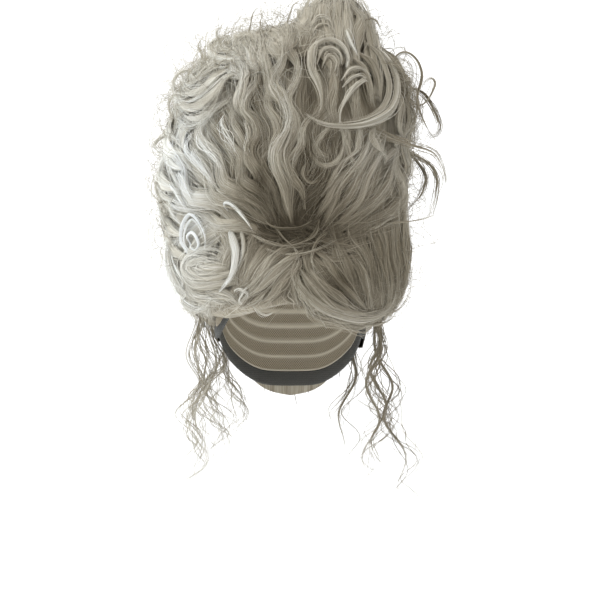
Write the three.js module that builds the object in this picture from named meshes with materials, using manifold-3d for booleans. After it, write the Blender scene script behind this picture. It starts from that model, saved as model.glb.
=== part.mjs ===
// Curly platinum updo wig: a net cap with a bound edge, hair piled on the crown, a swept fringe,
// side and nape hair, and loose tendrils. Millimetres, +Z up, the wearer looks along -Y.
// The origin is the top of the wearer's head, on the inside of the cap's crown.
import * as THREE from "three";
import { ParametricGeometry } from "three/addons/geometries/ParametricGeometry.js";
import { mergeVertices } from "three/addons/utils/BufferGeometryUtils.js";
import Module from "manifold-3d";

const wasm = await Module();
wasm.setup();

// Driving dimensions, in millimetres and degrees.
const HEAD_WIDTH = 152;
const HEAD_LENGTH = 194;
const CROWN_TO_TEMPLE = 112;
const CAP_WALL = 1.6;
const BAND_WALL = 2.4;
const BAND_SHARE = 0.07;
const GAP = 0.3;
const SPLIT_Z = -6;
const FORM_SQUARENESS = 2.3;
const CROWN_TOP = { x: 43, y: 1, z: 235 };
const CORE_RADIUS = 12;
const HAIR_SPINE = { x: 8, y: 4, lowest: -70, highest: 110 };
const LOCK_SIDES = 5;
const LOCK_STEPS = 7;
const UPSWEPT_STEPS = 6;
const CURL_STEPS = 8;
const LYING_STEPS = 10;
const TENDRIL_STEPS = 16;
const TENDRIL_WAVELENGTH = 72;
const TENDRIL_LEAN = 12;
const CURL_ROOT = 0.12;
const TENDRIL_ROOT = 0.3;
const CURL_FLATNESS = 0.88;
const CAP_SLICES = 30;
const CAP_RINGS = 6;
const FORM_SLICES = 30;
const PLUG_RINGS = 18;
const FACET_ALLOWANCE = 0.4;
const FAR = 400;

// Where the cap's edge runs: degrees round the head from the brow, and degrees down from the crown.
const RIM = [
  { deg: 0, tilt: 62 },
  { deg: 40, tilt: 66 },
  { deg: 72, tilt: 87 },
  { deg: 98, tilt: 82 },
  { deg: 125, tilt: 100 },
  { deg: 152, tilt: 112 },
  { deg: 180, tilt: 114 },
];

// Outer form of the hair: at each level, how far it reaches from the head's axis to each side.
const FORM = [
  { z: -172, left: 76, right: 76, front: 80, back: 108 },
  { z: -140, left: 84, right: 85, front: 92, back: 119 },
  { z: -110, left: 93, right: 94, front: 102, back: 127 },
  { z: -88, left: 101, right: 102, front: 112, back: 130 },
  { z: -68, left: 109, right: 110, front: 118, back: 133 },
  { z: -40, left: 114, right: 115, front: 120, back: 136 },
  { z: -10, left: 116, right: 115, front: 108, back: 136 },
  { z: 20, left: 121, right: 113, front: 107, back: 135 },
  { z: 50, left: 124, right: 113, front: 115, back: 130 },
  { z: 80, left: 120, right: 115, front: 114, back: 122 },
  { z: 110, left: 113, right: 118, front: 105, back: 110 },
  { z: 140, left: 106, right: 112, front: 93, back: 96 },
  { z: 165, left: 92, right: 101, front: 78, back: 80 },
  { z: 186, left: 70, right: 90, front: 60, back: 62 },
  { z: 198, left: 40, right: 85, front: 48, back: 50 },
  { z: 208, left: -4, right: 80, front: 40, back: 42 },
  { z: 224, left: -14, right: 70, front: 27, back: 29 },
];

// How low the hair hangs round the head, not counting loose locks.
const HEM = [
  { deg: 0, z: -72 },
  { deg: 50, z: -86 },
  { deg: 90, z: -84 },
  { deg: 125, z: -112 },
  { deg: 152, z: -156 },
  { deg: 180, z: -168 },
];

// Levels of the crown's pile between its flat bottom and its top.
const PILE_LEVELS = [30, 70, 110, 142, 168, 188, 199, 209, 224];

// Levels of the side hair as shares of its height, with the roll-under of its lower edge.
const SIDE_LEVELS = [
  { share: 0, tuck: 9 },
  { share: 0.1, tuck: 3 },
  { share: 0.3, tuck: 0 },
  { share: 0.65, tuck: 0 },
  { share: 1, tuck: 0 },
];

// Sections that the hair round the cap is parted into, in degrees from the brow towards +X.
const SECTIONS = [
  { name: "fringe", from: -52, to: 52 },
  { name: "right_side_hair", from: 52, to: 118 },
  { name: "nape_hair", from: 118, to: 242 },
  { name: "left_side_hair", from: 242, to: 308 },
];

// Front locks of the crown, fanning up from the gathered middle of the hairline, as seen from the front.
const FAN_LOCKS = [
  { fromX: -24, fromZ: -7, viaX: -86, viaZ: 22, toX: -120, toZ: 78, wave: 4, width: 27, thick: 17 },
  { fromX: -20, fromZ: -4, viaX: -72, viaZ: 48, toX: -104, toZ: 122, wave: 5, width: 25, thick: 17 },
  { fromX: -16, fromZ: -2, viaX: -58, viaZ: 72, toX: -82, toZ: 152, wave: 5, width: 24, thick: 17 },
  { fromX: -12, fromZ: 0, viaX: -42, viaZ: 84, toX: -56, toZ: 178, wave: 6, width: 22, thick: 17 },
  { fromX: -7, fromZ: 0, viaX: -24, viaZ: 92, toX: -32, toZ: 184, wave: 7, width: 20, thick: 17 },
  { fromX: -2, fromZ: 0, viaX: -8, viaZ: 96, toX: -10, toZ: 190, wave: 6, width: 20, thick: 18 },
  { fromX: 3, fromZ: 0, viaX: 8, viaZ: 84, toX: 12, toZ: 172, wave: 5, width: 19, thick: 17 },
  { fromX: 8, fromZ: -1, viaX: 28, viaZ: 66, toX: 42, toZ: 112, wave: 6, width: 19, thick: 16 },
  { fromX: 13, fromZ: -2, viaX: 54, viaZ: 60, toX: 78, toZ: 104, wave: 5, width: 22, thick: 16 },
  { fromX: 18, fromZ: -4, viaX: 72, viaZ: 42, toX: 106, toZ: 86, wave: 4, width: 24, thick: 16 },
  { fromX: 22, fromZ: -7, viaX: 80, viaZ: 14, toX: 111, toZ: 44, wave: 4, width: 24, thick: 16 },
];

// Locks of the fringe and temples, hanging from the same gathered middle.
const FRINGE_LOCKS = [
  { fromX: -6, fromZ: -14, viaX: -26, viaZ: -42, toX: -48, toZ: -74, wave: 2, width: 25, thick: 15 },
  { fromX: 0, fromZ: -16, viaX: -12, viaZ: -56, toX: -22, toZ: -92, wave: 3, width: 22, thick: 14 },
  { fromX: 6, fromZ: -16, viaX: 20, viaZ: -60, toX: 42, toZ: -92, wave: 3, width: 22, thick: 15 },
  { fromX: 12, fromZ: -14, viaX: 46, viaZ: -68, toX: 84, toZ: -84, wave: 3, width: 22, thick: 15 },
  { fromX: 20, fromZ: -12, viaX: 78, viaZ: -30, toX: 104, toZ: -72, wave: 3, width: 24, thick: 15 },
  { fromX: -54, fromZ: 0, viaX: -43, viaZ: -28, toX: -62, toZ: -64, wave: 2, width: 13, thick: 14 },
  { fromX: -118, fromZ: -12, viaX: -114, viaZ: -46, toX: -84, toZ: -78, wave: 2, width: 20, thick: 15 },
  { fromX: -106, fromZ: -22, viaX: -102, viaZ: -54, toX: -64, toZ: -82, wave: 2, width: 18, thick: 15 },
];

// Upswept locks of the back and sides: those of the crown rise to the peak, those of the nape reach the hem.
const UPSWEPT_CROWN = { from: 96, to: 264, count: 8, fromZ: -4, toZ: 214, wave: 6, width: 30, thick: 16 };
const UPSWEPT_NAPE = { from: 74, to: 286, count: 10, fromZ: -8, wave: 5, width: 29, thick: 14 };

// Standing curls: arcs of an ellipse round a centre, turned to face away from the head.
const CROWN_CURLS = [
  { x: -112, y: -34, z: 150, rx: 13, rz: 16, from: 320, to: 40, turn: -40, drift: 8, width: 9 },
  { x: -118, y: -16, z: 98, rx: 18, rz: 22, from: 320, to: 40, turn: -12, drift: 8, width: 9 },
  { x: -122, y: -24, z: 42, rx: 14, rz: 22, from: 310, to: 50, turn: -16, drift: 8, width: 9 },
  { x: 113, y: -24, z: 158, rx: 19, rz: 24, from: 184, to: -110, turn: 12, drift: 8, width: 9 },
  { x: 120, y: -22, z: 118, rx: 30, rz: 32, from: 132, to: -146, turn: 12, drift: 8, width: 9 },
  { x: 105, y: -46, z: 46, rx: 50, rz: 42, from: 96, to: -20, turn: 16, drift: 6, width: 10 },
  { x: 104, y: -18, z: 48, rx: 34, rz: 40, from: 96, to: -66, turn: 6, drift: 4, width: 10 },
  { x: 43, y: -13, z: 203, rx: 30, rz: 31, from: 190, to: -10, turn: 0, drift: 5, width: 26 },
  { x: 44, y: 14, z: 203, rx: 30, rz: 29, from: 190, to: -10, turn: 6, drift: 5, width: 26 },
];

// Curls that lie on the front of the crown: arcs of an ellipse, as seen from the front.
const LYING_CURLS = [
  { x: 55, z: 155, rx: 42, rz: 48, from: 105, to: -172, proud: 5, width: 15, thick: 15 },
  { x: 35, z: 168, rx: 15, rz: 15, from: 215, to: -40, proud: 5, width: 11, thick: 13 },
  { x: 62, z: 127, rx: 15, rz: 23, from: 80, to: 262, proud: 4, width: 10, thick: 12 },
  { x: -84, z: 138, rx: 20, rz: 20, from: 240, to: -110, proud: 5, width: 18, thick: 16 },
  { x: -58, z: 174, rx: 17, rz: 15, from: 215, to: -110, proud: 5, width: 16, thick: 15 },
];

// Curls of the left temple: the ring curl and the round roll under it.
const TEMPLE_CURLS = [
  { x: -88, z: -10, rx: 11, rz: 17, from: 235, to: -75, proud: 4, width: 8, thick: 11 },
  { x: -74, z: -42, rx: 21, rz: 18, from: 200, to: -140, proud: 4, width: 14, thick: 15 },
];

// Loose tendrils: root, fall and waves. They leave the hair behind the ears and hang free.
const TENDRILS = [
  { name: "left_tendril_1", x: -91, y: 6, z: -70, toX: -98, toZ: -268, wave: 7, phase: 20, thick: 9 },
  { name: "left_tendril_2", x: -88, y: 27, z: -72, toX: -88, toZ: -232, wave: 8, phase: 110, thick: 10 },
  { name: "left_tendril_3", x: -82, y: 47, z: -88, toX: -72, toZ: -230, wave: 8, phase: 230, thick: 10 },
  { name: "left_tendril_4", x: -71, y: 66, z: -98, toX: -52, toZ: -212, wave: 6, phase: 60, thick: 8 },
  { name: "right_tendril_1", x: 90, y: 6, z: -70, toX: 80, toZ: -250, wave: 8, phase: 200, thick: 11 },
  { name: "right_tendril_2", x: 89, y: 28, z: -72, toX: 91, toZ: -240, wave: 8, phase: 275, thick: 10 },
  { name: "right_tendril_3", x: 84, y: 47, z: -86, toX: 121, toZ: -280, wave: 8, phase: 90, thick: 10 },
  { name: "right_tendril_4", x: 71, y: 66, z: -98, toX: 50, toZ: -226, wave: 6, phase: 180, thick: 8 },
];

// Finishes.
const HAIR = new THREE.MeshStandardMaterial({ color: 0xcdc6b4, roughness: 0.5, metalness: 0 });
const NET = new THREE.MeshStandardMaterial({ color: 0x8d8474, roughness: 0.9, metalness: 0 });
const ELASTIC = new THREE.MeshStandardMaterial({ color: 0x3a3835, roughness: 0.85, metalness: 0 });

const radians = THREE.MathUtils.degToRad;
const lerp = THREE.MathUtils.lerp;
const point = (x, y, z) => new THREE.Vector3(x, y, z);
const signedPower = (value, power) => Math.sign(value) * Math.abs(value) ** power;

// Smooth value of one column of a table, between its rows and held level past its ends.
function column(rows, by, at, name) {
  const last = rows.length - 1;
  const place = Math.min(Math.max(at, rows[0][by]), rows[last][by]);
  let i = 0;
  while (i < last - 1 && place > rows[i + 1][by]) i++;
  const t = (place - rows[i][by]) / (rows[i + 1][by] - rows[i][by]);
  const value = (k) => rows[Math.min(Math.max(k, 0), last)][name];
  const before = (value(i + 1) - value(i - 1)) / 2;
  const after = (value(i + 2) - value(i)) / 2;
  const rise = value(i + 1) - value(i);
  const bend = 3 * rise - 2 * before - after;
  return value(i) + t * before + t ** 2 * bend + t ** 3 * (before + after - 2 * rise);
}

// Degrees from the brow, folded to the half of the head that the symmetric tables describe.
const folded = (deg) => Math.abs(THREE.MathUtils.euclideanModulo(deg + 180, 360) - 180);

// A point on the head, grown outwards by a wall's thickness.
function onHead(deg, tilt, grow) {
  const round = Math.sin(radians(tilt));
  const x = (HEAD_WIDTH / 2 + grow) * round * Math.sin(radians(deg));
  const y = -(HEAD_LENGTH / 2 + grow) * round * Math.cos(radians(deg));
  return point(x, y, (CROWN_TO_TEMPLE + grow) * Math.cos(radians(tilt)) - CROWN_TO_TEMPLE);
}

// How far the hair's form reaches to one side at a level.
const reachOf = (side, z) => column(FORM, "z", z, side);

// A point on the outer form of the hair, tucked in towards the head's axis.
function onForm(deg, z, tuck = 0) {
  const [left, right, front, back] = ["left", "right", "front", "back"].map((side) => reachOf(side, z));
  const across = signedPower(Math.sin(radians(deg)), 2 / FORM_SQUARENESS);
  const along = signedPower(Math.cos(radians(deg)), 2 / FORM_SQUARENESS);
  const x = (right - left) / 2 + ((right + left) / 2 - tuck) * across;
  return point(x, (back - front) / 2 - ((front + back) / 2 - tuck) * along, z);
}

// Degrees round the form of the place that shows at x on its front, at a level.
function frontDegrees(x, z) {
  const [left, right] = ["left", "right"].map((side) => reachOf(side, z));
  const across = (x - (right - left) / 2) / ((right + left) / 2);
  const turned = signedPower(THREE.MathUtils.clamp(across, -1, 1), FORM_SQUARENESS / 2);
  return THREE.MathUtils.radToDeg(Math.asin(turned));
}

// A closed mesh as a solid with its faces pointing out.
function solidOf(geometry) {
  const bare = new THREE.BufferGeometry();
  bare.setAttribute("position", geometry.getAttribute("position"));
  bare.setIndex(geometry.index);
  const merged = mergeVertices(bare, 1e-3);
  const corners = merged.index.array;
  const kept = [];
  for (let i = 0; i < corners.length; i += 3) {
    const [a, b, c] = corners.slice(i, i + 3);
    if (a !== b && b !== c && c !== a) kept.push(a, b, c);
  }
  const build = (order) => {
    const triVerts = new Uint32Array(order);
    const vertProperties = new Float32Array(merged.attributes.position.array);
    return new wasm.Manifold(new wasm.Mesh({ numProp: 3, vertProperties, triVerts }));
  };
  const made = build(kept);
  return made.volume() > 0 ? made : build(kept.reverse());
}

// A closed skin through rings of points: each ring is a function of degrees round it.
function ringStack(rings, slices) {
  const last = rings.length - 1;
  const place = (u, v, target) => target.copy(rings[Math.round(v * last)](u === 1 ? 0 : u * 360));
  return solidOf(new ParametricGeometry(place, slices, last));
}

// Outward direction of the hair at a place, away from the middle of the head and crown.
function outwardAt(place) {
  const level = THREE.MathUtils.clamp(place.z, HAIR_SPINE.lowest, HAIR_SPINE.highest);
  return place.clone().sub(point(HAIR_SPINE.x, HAIR_SPINE.y, level)).normalize();
}

// A lock of hair: a flat tapering tube along a curve, lying on the hair under it.
function lockSolid(places, width, thick, steps, rootShare) {
  const curve = new THREE.CatmullRomCurve3(places, false, "centripetal");
  const rings = Array.from({ length: steps + 1 }, (_, i) => {
    const t = i / steps;
    const middle = curve.getPoint(t);
    const along = curve.getTangent(t);
    const beside = along.clone().cross(outwardAt(middle)).normalize();
    const up = beside.clone().cross(along).normalize();
    const full = Math.sin(Math.PI * lerp(rootShare, 1, t)) ** 0.6;
    const size = i === steps || (i === 0 && rootShare === 0) ? 0 : full;
    return (deg) => {
      const wide = Math.cos(radians(deg)) * (width / 2) * size;
      const high = Math.sin(radians(deg)) * (thick / 2) * size;
      return middle.clone().addScaledVector(beside, wide).addScaledVector(up, high);
    };
  });
  const root = curve.getPoint(0);
  const closed = rootShare === 0 ? rings : [() => root.clone(), ...rings];
  return ringStack(closed, LOCK_SIDES);
}

// A lock that lies on the front of the form, given as seen from the front.
function frontLock(row) {
  const bend = new THREE.QuadraticBezierCurve(
    new THREE.Vector2(row.fromX, row.fromZ),
    new THREE.Vector2(row.viaX, row.viaZ),
    new THREE.Vector2(row.toX, row.toZ),
  );
  const places = Array.from({ length: LOCK_STEPS + 1 }, (_, i) => {
    const t = i / LOCK_STEPS;
    const seen = bend.getPoint(t);
    const heading = bend.getTangent(t);
    const sway = row.wave * Math.sin(2 * Math.PI * t * 1.5) * Math.min(1, 3 * t);
    const x = seen.x - heading.y * sway;
    const z = seen.y + heading.x * sway;
    return onForm(frontDegrees(x, z), z);
  });
  return lockSolid(places, row.width, row.thick, LOCK_STEPS, 0);
}

// A band of upswept locks round the sides and back of the form.
function upsweptLocks(row) {
  return Array.from({ length: row.count }, (_, k) => {
    const deg = lerp(row.from, row.to, k / (row.count - 1));
    const toZ = row.toZ ?? column(HEM, "deg", folded(deg), "z") + 6;
    const places = Array.from({ length: UPSWEPT_STEPS + 1 }, (_, i) => {
      const t = i / UPSWEPT_STEPS;
      const z = lerp(row.fromZ, toZ, t);
      const reach = onForm(deg, z).setZ(0).length();
      const sway = (row.wave * Math.sin(2 * Math.PI * (t * 1.4 + k * 0.37))) / reach;
      return onForm(deg + THREE.MathUtils.radToDeg(sway), z, 3);
    });
    return lockSolid(places, row.width, row.thick, UPSWEPT_STEPS, 0);
  });
}

// A curl that lies on the front of the form, a little proud of it.
function lyingCurl(row) {
  const places = Array.from({ length: LYING_STEPS + 1 }, (_, i) => {
    const angle = radians(lerp(row.from, row.to, i / LYING_STEPS));
    const x = row.x + row.rx * Math.cos(angle);
    const z = row.z + row.rz * Math.sin(angle);
    return onForm(frontDegrees(x, z), z, -row.proud);
  });
  return lockSolid(places, row.width, row.thick, LYING_STEPS, CURL_ROOT);
}

// A standing curl: an arc that turns with its place on the head.
function standingCurl(row) {
  const upright = point(0, 0, 1);
  const places = Array.from({ length: CURL_STEPS + 1 }, (_, i) => {
    const t = i / CURL_STEPS;
    const angle = radians(lerp(row.from, row.to, t));
    const local = point(row.rx * Math.cos(angle), -row.drift * t, row.rz * Math.sin(angle));
    return local.applyAxisAngle(upright, radians(row.turn)).add(point(row.x, row.y, row.z));
  });
  return lockSolid(places, row.width, row.width * CURL_FLATNESS, CURL_STEPS, CURL_ROOT);
}

// A tendril: a wavy lock that swells a little below its root and ends in a point.
function tendrilSolid(row, grow) {
  const waves = (row.z - row.toZ) / TENDRIL_WAVELENGTH;
  const places = Array.from({ length: TENDRIL_STEPS + 1 }, (_, i) => {
    const t = i / TENDRIL_STEPS;
    const angle = 2 * Math.PI * waves * t + radians(row.phase);
    const sway = row.wave * Math.min(1, 2.5 * t);
    const x = lerp(row.x, row.toX, t) + sway * Math.sin(angle);
    const y = row.y - TENDRIL_LEAN * t + 0.6 * sway * Math.cos(angle);
    return point(x, y, lerp(row.z, row.toZ, t) + (i === 0 ? grow : 0));
  });
  const size = row.thick + 2 * grow;
  return lockSolid(places, size, size * CURL_FLATNESS, TENDRIL_STEPS, TENDRIL_ROOT);
}

// A wedge of space between two half planes through the head's axis, short of each by half a gap.
function wedgeSolid(from, to) {
  const middle = radians((from + to) / 2);
  const back = GAP / 2 / Math.sin(radians((to - from) / 2));
  const corner = (deg, reach) => [reach * Math.sin(radians(deg)), -reach * Math.cos(radians(deg))];
  const shape = new THREE.Shape();
  shape.moveTo(0, 0);
  for (let k = 0; k <= 4; k++) shape.lineTo(...corner(lerp(from, to, k / 4), FAR));
  shape.closePath();
  const wedge = new THREE.ExtrudeGeometry(shape, { depth: 2 * FAR, bevelEnabled: false });
  wedge.translate(back * Math.sin(middle), -back * Math.cos(middle), -FAR);
  return solidOf(wedge);
}

// A block of space above or below a level.
function halfSpace(level, above) {
  const block = new THREE.BoxGeometry(2 * FAR, 2 * FAR, 2 * FAR);
  block.translate(0, 0, level + (above ? FAR : -FAR));
  return solidOf(block);
}

const joined = (solids) => solids.reduce((whole, next) => whole.add(next));

// The largest body of a cut solid, without slivers that the cut left loose.
function mainBody(solid) {
  return solid.decompose().reduce((best, next) => (next.volume() > best.volume() ? next : best));
}

// Net cap: a thin dome whose edge follows the hairline.
function capSolid() {
  const shares = Array.from({ length: CAP_RINGS + 1 }, (_, i) => i / CAP_RINGS);
  const ring = (share, grow) => (deg) => {
    const rim = column(RIM, "deg", folded(deg), "tilt") * (1 - BAND_SHARE);
    return onHead(deg, rim * share, grow);
  };
  const outer = shares.map((share) => ring(share, CAP_WALL));
  const inner = shares.map((share) => ring(share, 0)).reverse();
  return ringStack([...outer, ...inner], CAP_SLICES);
}

// Elastic edge band: carries on from the cap's edge, flush outside and thicker inside.
function bandSolid() {
  const gapShare = GAP / HEAD_WIDTH;
  const ring = (share, grow) => (deg) => onHead(deg, column(RIM, "deg", folded(deg), "tilt") * share, grow);
  const top = 1 - BAND_SHARE + gapShare;
  const inside = CAP_WALL - BAND_WALL;
  const corners = [ring(top, CAP_WALL), ring(1, CAP_WALL), ring(1, inside), ring(top, inside)];
  return ringStack([...corners, corners[0]], CAP_SLICES);
}

// The space that the head and the cap take up, grown so that its flat facets clear the cap too.
function headPlug() {
  const grow = CAP_WALL + GAP + FACET_ALLOWANCE;
  const rings = Array.from({ length: PLUG_RINGS + 1 }, (_, i) => {
    return (deg) => onHead(deg, (180 * i) / PLUG_RINGS, grow);
  });
  return ringStack(rings, CAP_SLICES);
}

// Crown hair: the pile above the cap with its fan of locks, upswept back and standing curls.
function crownSolid(plug) {
  const bottom = point(0, 0, SPLIT_Z + GAP);
  const top = point(CROWN_TOP.x, CROWN_TOP.y, CROWN_TOP.z);
  const rings = [bottom.z, ...PILE_LEVELS].map((z) => (deg) => onForm(deg, z));
  const pile = ringStack([() => bottom.clone(), ...rings, () => top.clone()], FORM_SLICES);
  const locks = [
    ...FAN_LOCKS.map(frontLock),
    ...upsweptLocks(UPSWEPT_CROWN),
    ...CROWN_CURLS.map(standingCurl),
    ...LYING_CURLS.map(lyingCurl),
  ];
  const whole = joined([pile, ...locks]).subtract(halfSpace(bottom.z, false));
  return mainBody(whole.subtract(plug));
}

// Hair round the cap: a hollow collar with its locks, to be parted into sections.
function collarSolid(plug) {
  const hem = (deg) => column(HEM, "deg", folded(deg), "z");
  const outer = SIDE_LEVELS.map((row) => (deg) => {
    const z = lerp(hem(deg), SPLIT_Z, row.share);
    return onForm(deg, z, row.tuck);
  });
  const core = (z) => (deg) => onForm(deg, 0).setZ(0).setLength(CORE_RADIUS).setZ(z(deg));
  const rings = [...outer, core(() => SPLIT_Z), core(hem)];
  const collar = ringStack([...rings, outer[0]], FORM_SLICES);
  const locks = [
    ...FRINGE_LOCKS.map(frontLock),
    ...upsweptLocks(UPSWEPT_NAPE),
    ...TEMPLE_CURLS.map(lyingCurl),
  ];
  return joined([collar, ...locks]).subtract(halfSpace(SPLIT_Z, true)).subtract(plug);
}

// A named mesh of a solid.
function meshOf(name, solid, material) {
  const { vertProperties, triVerts } = solid.getMesh();
  const geometry = new THREE.BufferGeometry();
  geometry.setAttribute("position", new THREE.BufferAttribute(vertProperties, 3));
  geometry.setIndex(new THREE.BufferAttribute(triVerts, 1));
  geometry.computeVertexNormals();
  const mesh = new THREE.Mesh(geometry, material);
  mesh.name = name;
  return mesh;
}

const wig = new THREE.Group();
wig.name = "updo_wig";
const plug = headPlug();
wig.add(meshOf("cap", capSolid(), NET));
wig.add(meshOf("edge_band", bandSolid(), ELASTIC));
wig.add(meshOf("crown_hair", crownSolid(plug), HAIR));

const sockets = joined(TENDRILS.map((row) => tendrilSolid(row, GAP)));
const collar = collarSolid(plug).subtract(sockets);
for (const { name, from, to } of SECTIONS) {
  wig.add(meshOf(name, mainBody(collar.intersect(wedgeSolid(from, to))), HAIR));
}
for (const row of TENDRILS) wig.add(meshOf(row.name, tendrilSolid(row, 0), HAIR));

export default wig;
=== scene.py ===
# %% [markdown]
# # A curly platinum updo wig
# A wig is a net cap with hair sewn to it. Here the hair is piled high, swept off the brow into a fan of
# waves, and finished with curls, a fringe and loose tendrils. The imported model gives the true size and
# place of every section. This file dresses those sections with real strands, because hair that is only a
# texture on a smooth shell looks like plastic as soon as the light comes from the side.

# %% Load the frame
import math
from collections import namedtuple
from types import SimpleNamespace as Values

import bpy
import numpy as np
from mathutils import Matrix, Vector


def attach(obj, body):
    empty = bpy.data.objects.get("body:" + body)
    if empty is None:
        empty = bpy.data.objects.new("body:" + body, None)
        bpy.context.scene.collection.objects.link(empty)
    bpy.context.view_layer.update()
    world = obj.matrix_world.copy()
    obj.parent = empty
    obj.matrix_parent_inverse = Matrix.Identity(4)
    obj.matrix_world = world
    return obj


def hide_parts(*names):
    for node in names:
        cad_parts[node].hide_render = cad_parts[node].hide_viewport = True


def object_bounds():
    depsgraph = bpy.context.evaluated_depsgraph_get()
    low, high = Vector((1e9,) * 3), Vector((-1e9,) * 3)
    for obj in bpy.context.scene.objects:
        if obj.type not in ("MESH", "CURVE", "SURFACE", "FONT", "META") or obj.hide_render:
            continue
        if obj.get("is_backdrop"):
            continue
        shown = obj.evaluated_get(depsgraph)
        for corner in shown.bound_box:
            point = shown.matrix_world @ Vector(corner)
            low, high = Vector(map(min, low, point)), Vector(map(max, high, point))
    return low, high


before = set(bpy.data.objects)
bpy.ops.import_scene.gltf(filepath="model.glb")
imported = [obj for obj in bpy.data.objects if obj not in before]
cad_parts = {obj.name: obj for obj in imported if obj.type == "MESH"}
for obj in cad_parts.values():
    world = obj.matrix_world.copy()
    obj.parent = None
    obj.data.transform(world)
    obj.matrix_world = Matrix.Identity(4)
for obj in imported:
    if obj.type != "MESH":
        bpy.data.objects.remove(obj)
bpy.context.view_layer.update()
MM = 0.001

# %% [markdown]
# ## The outer form
# All the hair lies on one form, which the solids share: at each level it reaches a given distance to the
# left, right, front and back of the wig's axis. A squared-off ellipse joins the four. Most locks below are
# drawn as they are seen from the front or from one side, and this form then carries them into depth.

# %% The form of the hair
Level = namedtuple("Level", "z left right front back")
FORM = [
    Level(-172, 76, 76, 80, 108),
    Level(-140, 84, 85, 92, 119),
    Level(-110, 93, 94, 102, 127),
    Level(-88, 101, 102, 112, 130),
    Level(-68, 109, 110, 118, 133),
    Level(-40, 114, 115, 120, 136),
    Level(-10, 116, 115, 108, 136),
    Level(20, 121, 113, 107, 135),
    Level(50, 124, 113, 115, 130),
    Level(80, 120, 115, 114, 122),
    Level(110, 113, 118, 105, 110),
    Level(140, 106, 112, 93, 96),
    Level(165, 92, 101, 78, 80),
    Level(186, 70, 90, 60, 62),
    Level(198, 40, 85, 48, 50),
    Level(208, -4, 80, 40, 42),
    Level(224, -14, 70, 27, 29),
]
print("the form runs from", FORM[0].z, "to", FORM[-1].z, "mm")

# %% [markdown]
# ## Points on the form
# Curves could be shrink-wrapped onto a modelled shell. A form that is only a table and a formula is
# lighter: a point is laid on it by its turn round the wig and its level, or by the place where it shows
# from the front.

# %% Points laid on the form
SIDES = ("left", "right", "front", "back")
SQUARENESS = 2.3
EDGE = 0.93
SPINE = Values(x=8 * MM, y=4 * MM, lowest=-70 * MM, highest=110 * MM)


def column(rows, by, name, at):
    """Smooth value of one column of a table between its rows, held level past its ends."""
    keys = np.array([getattr(row, by) for row in rows], float)
    values = np.array([getattr(row, name) for row in rows], float)
    place = np.clip(at, keys[0], keys[-1])
    i = np.clip(np.searchsorted(keys, place) - 1, 0, len(keys) - 2)
    t = (place - keys[i]) / (keys[i + 1] - keys[i])
    ends = np.concatenate([values[:1], values, values[-1:]])
    before = (ends[i + 2] - ends[i]) / 2
    after = (ends[i + 3] - ends[i + 1]) / 2
    rise = values[i + 1] - values[i]
    bend = 3 * rise - 2 * before - after
    return values[i] + t * before + t**2 * bend + t**3 * (before + after - 2 * rise)


def signed_power(value, power):
    return np.sign(value) * np.abs(value) ** power


def unit(vectors):
    return vectors / np.maximum(np.linalg.norm(vectors, axis=-1, keepdims=True), 1e-9)


def smoothstep(value):
    value = np.clip(value, 0, 1)
    return value * value * (3 - 2 * value)


def outward(places):
    """Direction away from the middle of the cap and of the pile above it."""
    level = np.clip(places[..., 2], SPINE.lowest, SPINE.highest)
    middle = np.stack([np.full_like(level, SPINE.x), np.full_like(level, SPINE.y), level], -1)
    return unit(places - middle)


def on_form(turn, z, lift=0.0):
    """Places on the form at a turn round the wig from the brow, in degrees, and a level."""
    left, right, front, back = (column(FORM, "z", side, z / MM) * MM for side in SIDES)
    across = signed_power(np.sin(np.radians(turn)), 2 / SQUARENESS)
    along = signed_power(np.cos(np.radians(turn)), 2 / SQUARENESS)
    x = (right - left) / 2 + (right + left) / 2 * across
    y = (back - front) / 2 - (front + back) / 2 * along
    places = np.stack(np.broadcast_arrays(x, y, z), -1)
    return places + np.asarray(lift)[..., None] * outward(places)


def on_front(x, z, lift):
    """Places that show at x and z from the front. Near the outline they stay on its front edge."""
    left, right = (column(FORM, "z", side, z / MM) * MM for side in ("left", "right"))
    across = (x - (right - left) / 2) / ((right + left) / 2)
    room = (1 - EDGE) / 2
    beyond = np.maximum(0, np.abs(across) - EDGE)
    held = np.sign(across) * (np.minimum(np.abs(across), EDGE) + room * np.tanh(beyond / room))
    turn = np.degrees(np.arcsin(signed_power(held, SQUARENESS / 2)))
    places = on_form(turn, z, lift)
    places[:, 0] += (across - held) * (right + left) / 2
    return places


print("the brow of the form is at", on_form(np.zeros(1), np.zeros(1))[0])

# %% [markdown]
# ## Paths
# A lock needs one smooth line to follow. Blender's Bezier curves would do, but their handles are hard to
# judge by eye. A Catmull-Rom curve passes through a few given points and needs no handles.

# %% Smooth paths
PATH_POINTS = 72
FINER = 4
ALONG = np.linspace(0, 1, PATH_POINTS)


def smooth_path(points):
    """Catmull-Rom curve through points of any dimension, evenly spaced along its length."""
    knots = np.array(points, float)
    ends = np.concatenate([[2 * knots[0] - knots[1]], knots, [2 * knots[-1] - knots[-2]]])
    place = np.linspace(0, len(knots) - 1, PATH_POINTS * FINER)
    i = np.minimum(place.astype(int), len(knots) - 2)
    t = (place - i)[:, None]
    a, b, c, d = (ends[i + k] for k in range(4))
    curve = b + 0.5 * t * (c - a + t * (2 * a - 5 * b + 4 * c - d + t * (3 * (b - c) + d - a)))
    steps = np.linalg.norm(np.diff(curve, axis=0), axis=1)
    length = np.concatenate([[0], np.cumsum(steps)])
    even = np.linspace(0, length[-1], PATH_POINTS)
    return np.stack([np.interp(even, length, curve[:, k]) for k in range(knots.shape[1])], -1)


def sample(path, t):
    """Places along an evenly spaced path."""
    place = np.clip(t, 0, 1) * (len(path) - 1)
    i = np.minimum(place.astype(int), len(path) - 2)
    part = (place - i)[..., None]
    return path[i] * (1 - part) + path[i + 1] * part


print("each path has", PATH_POINTS, "points")

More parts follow.
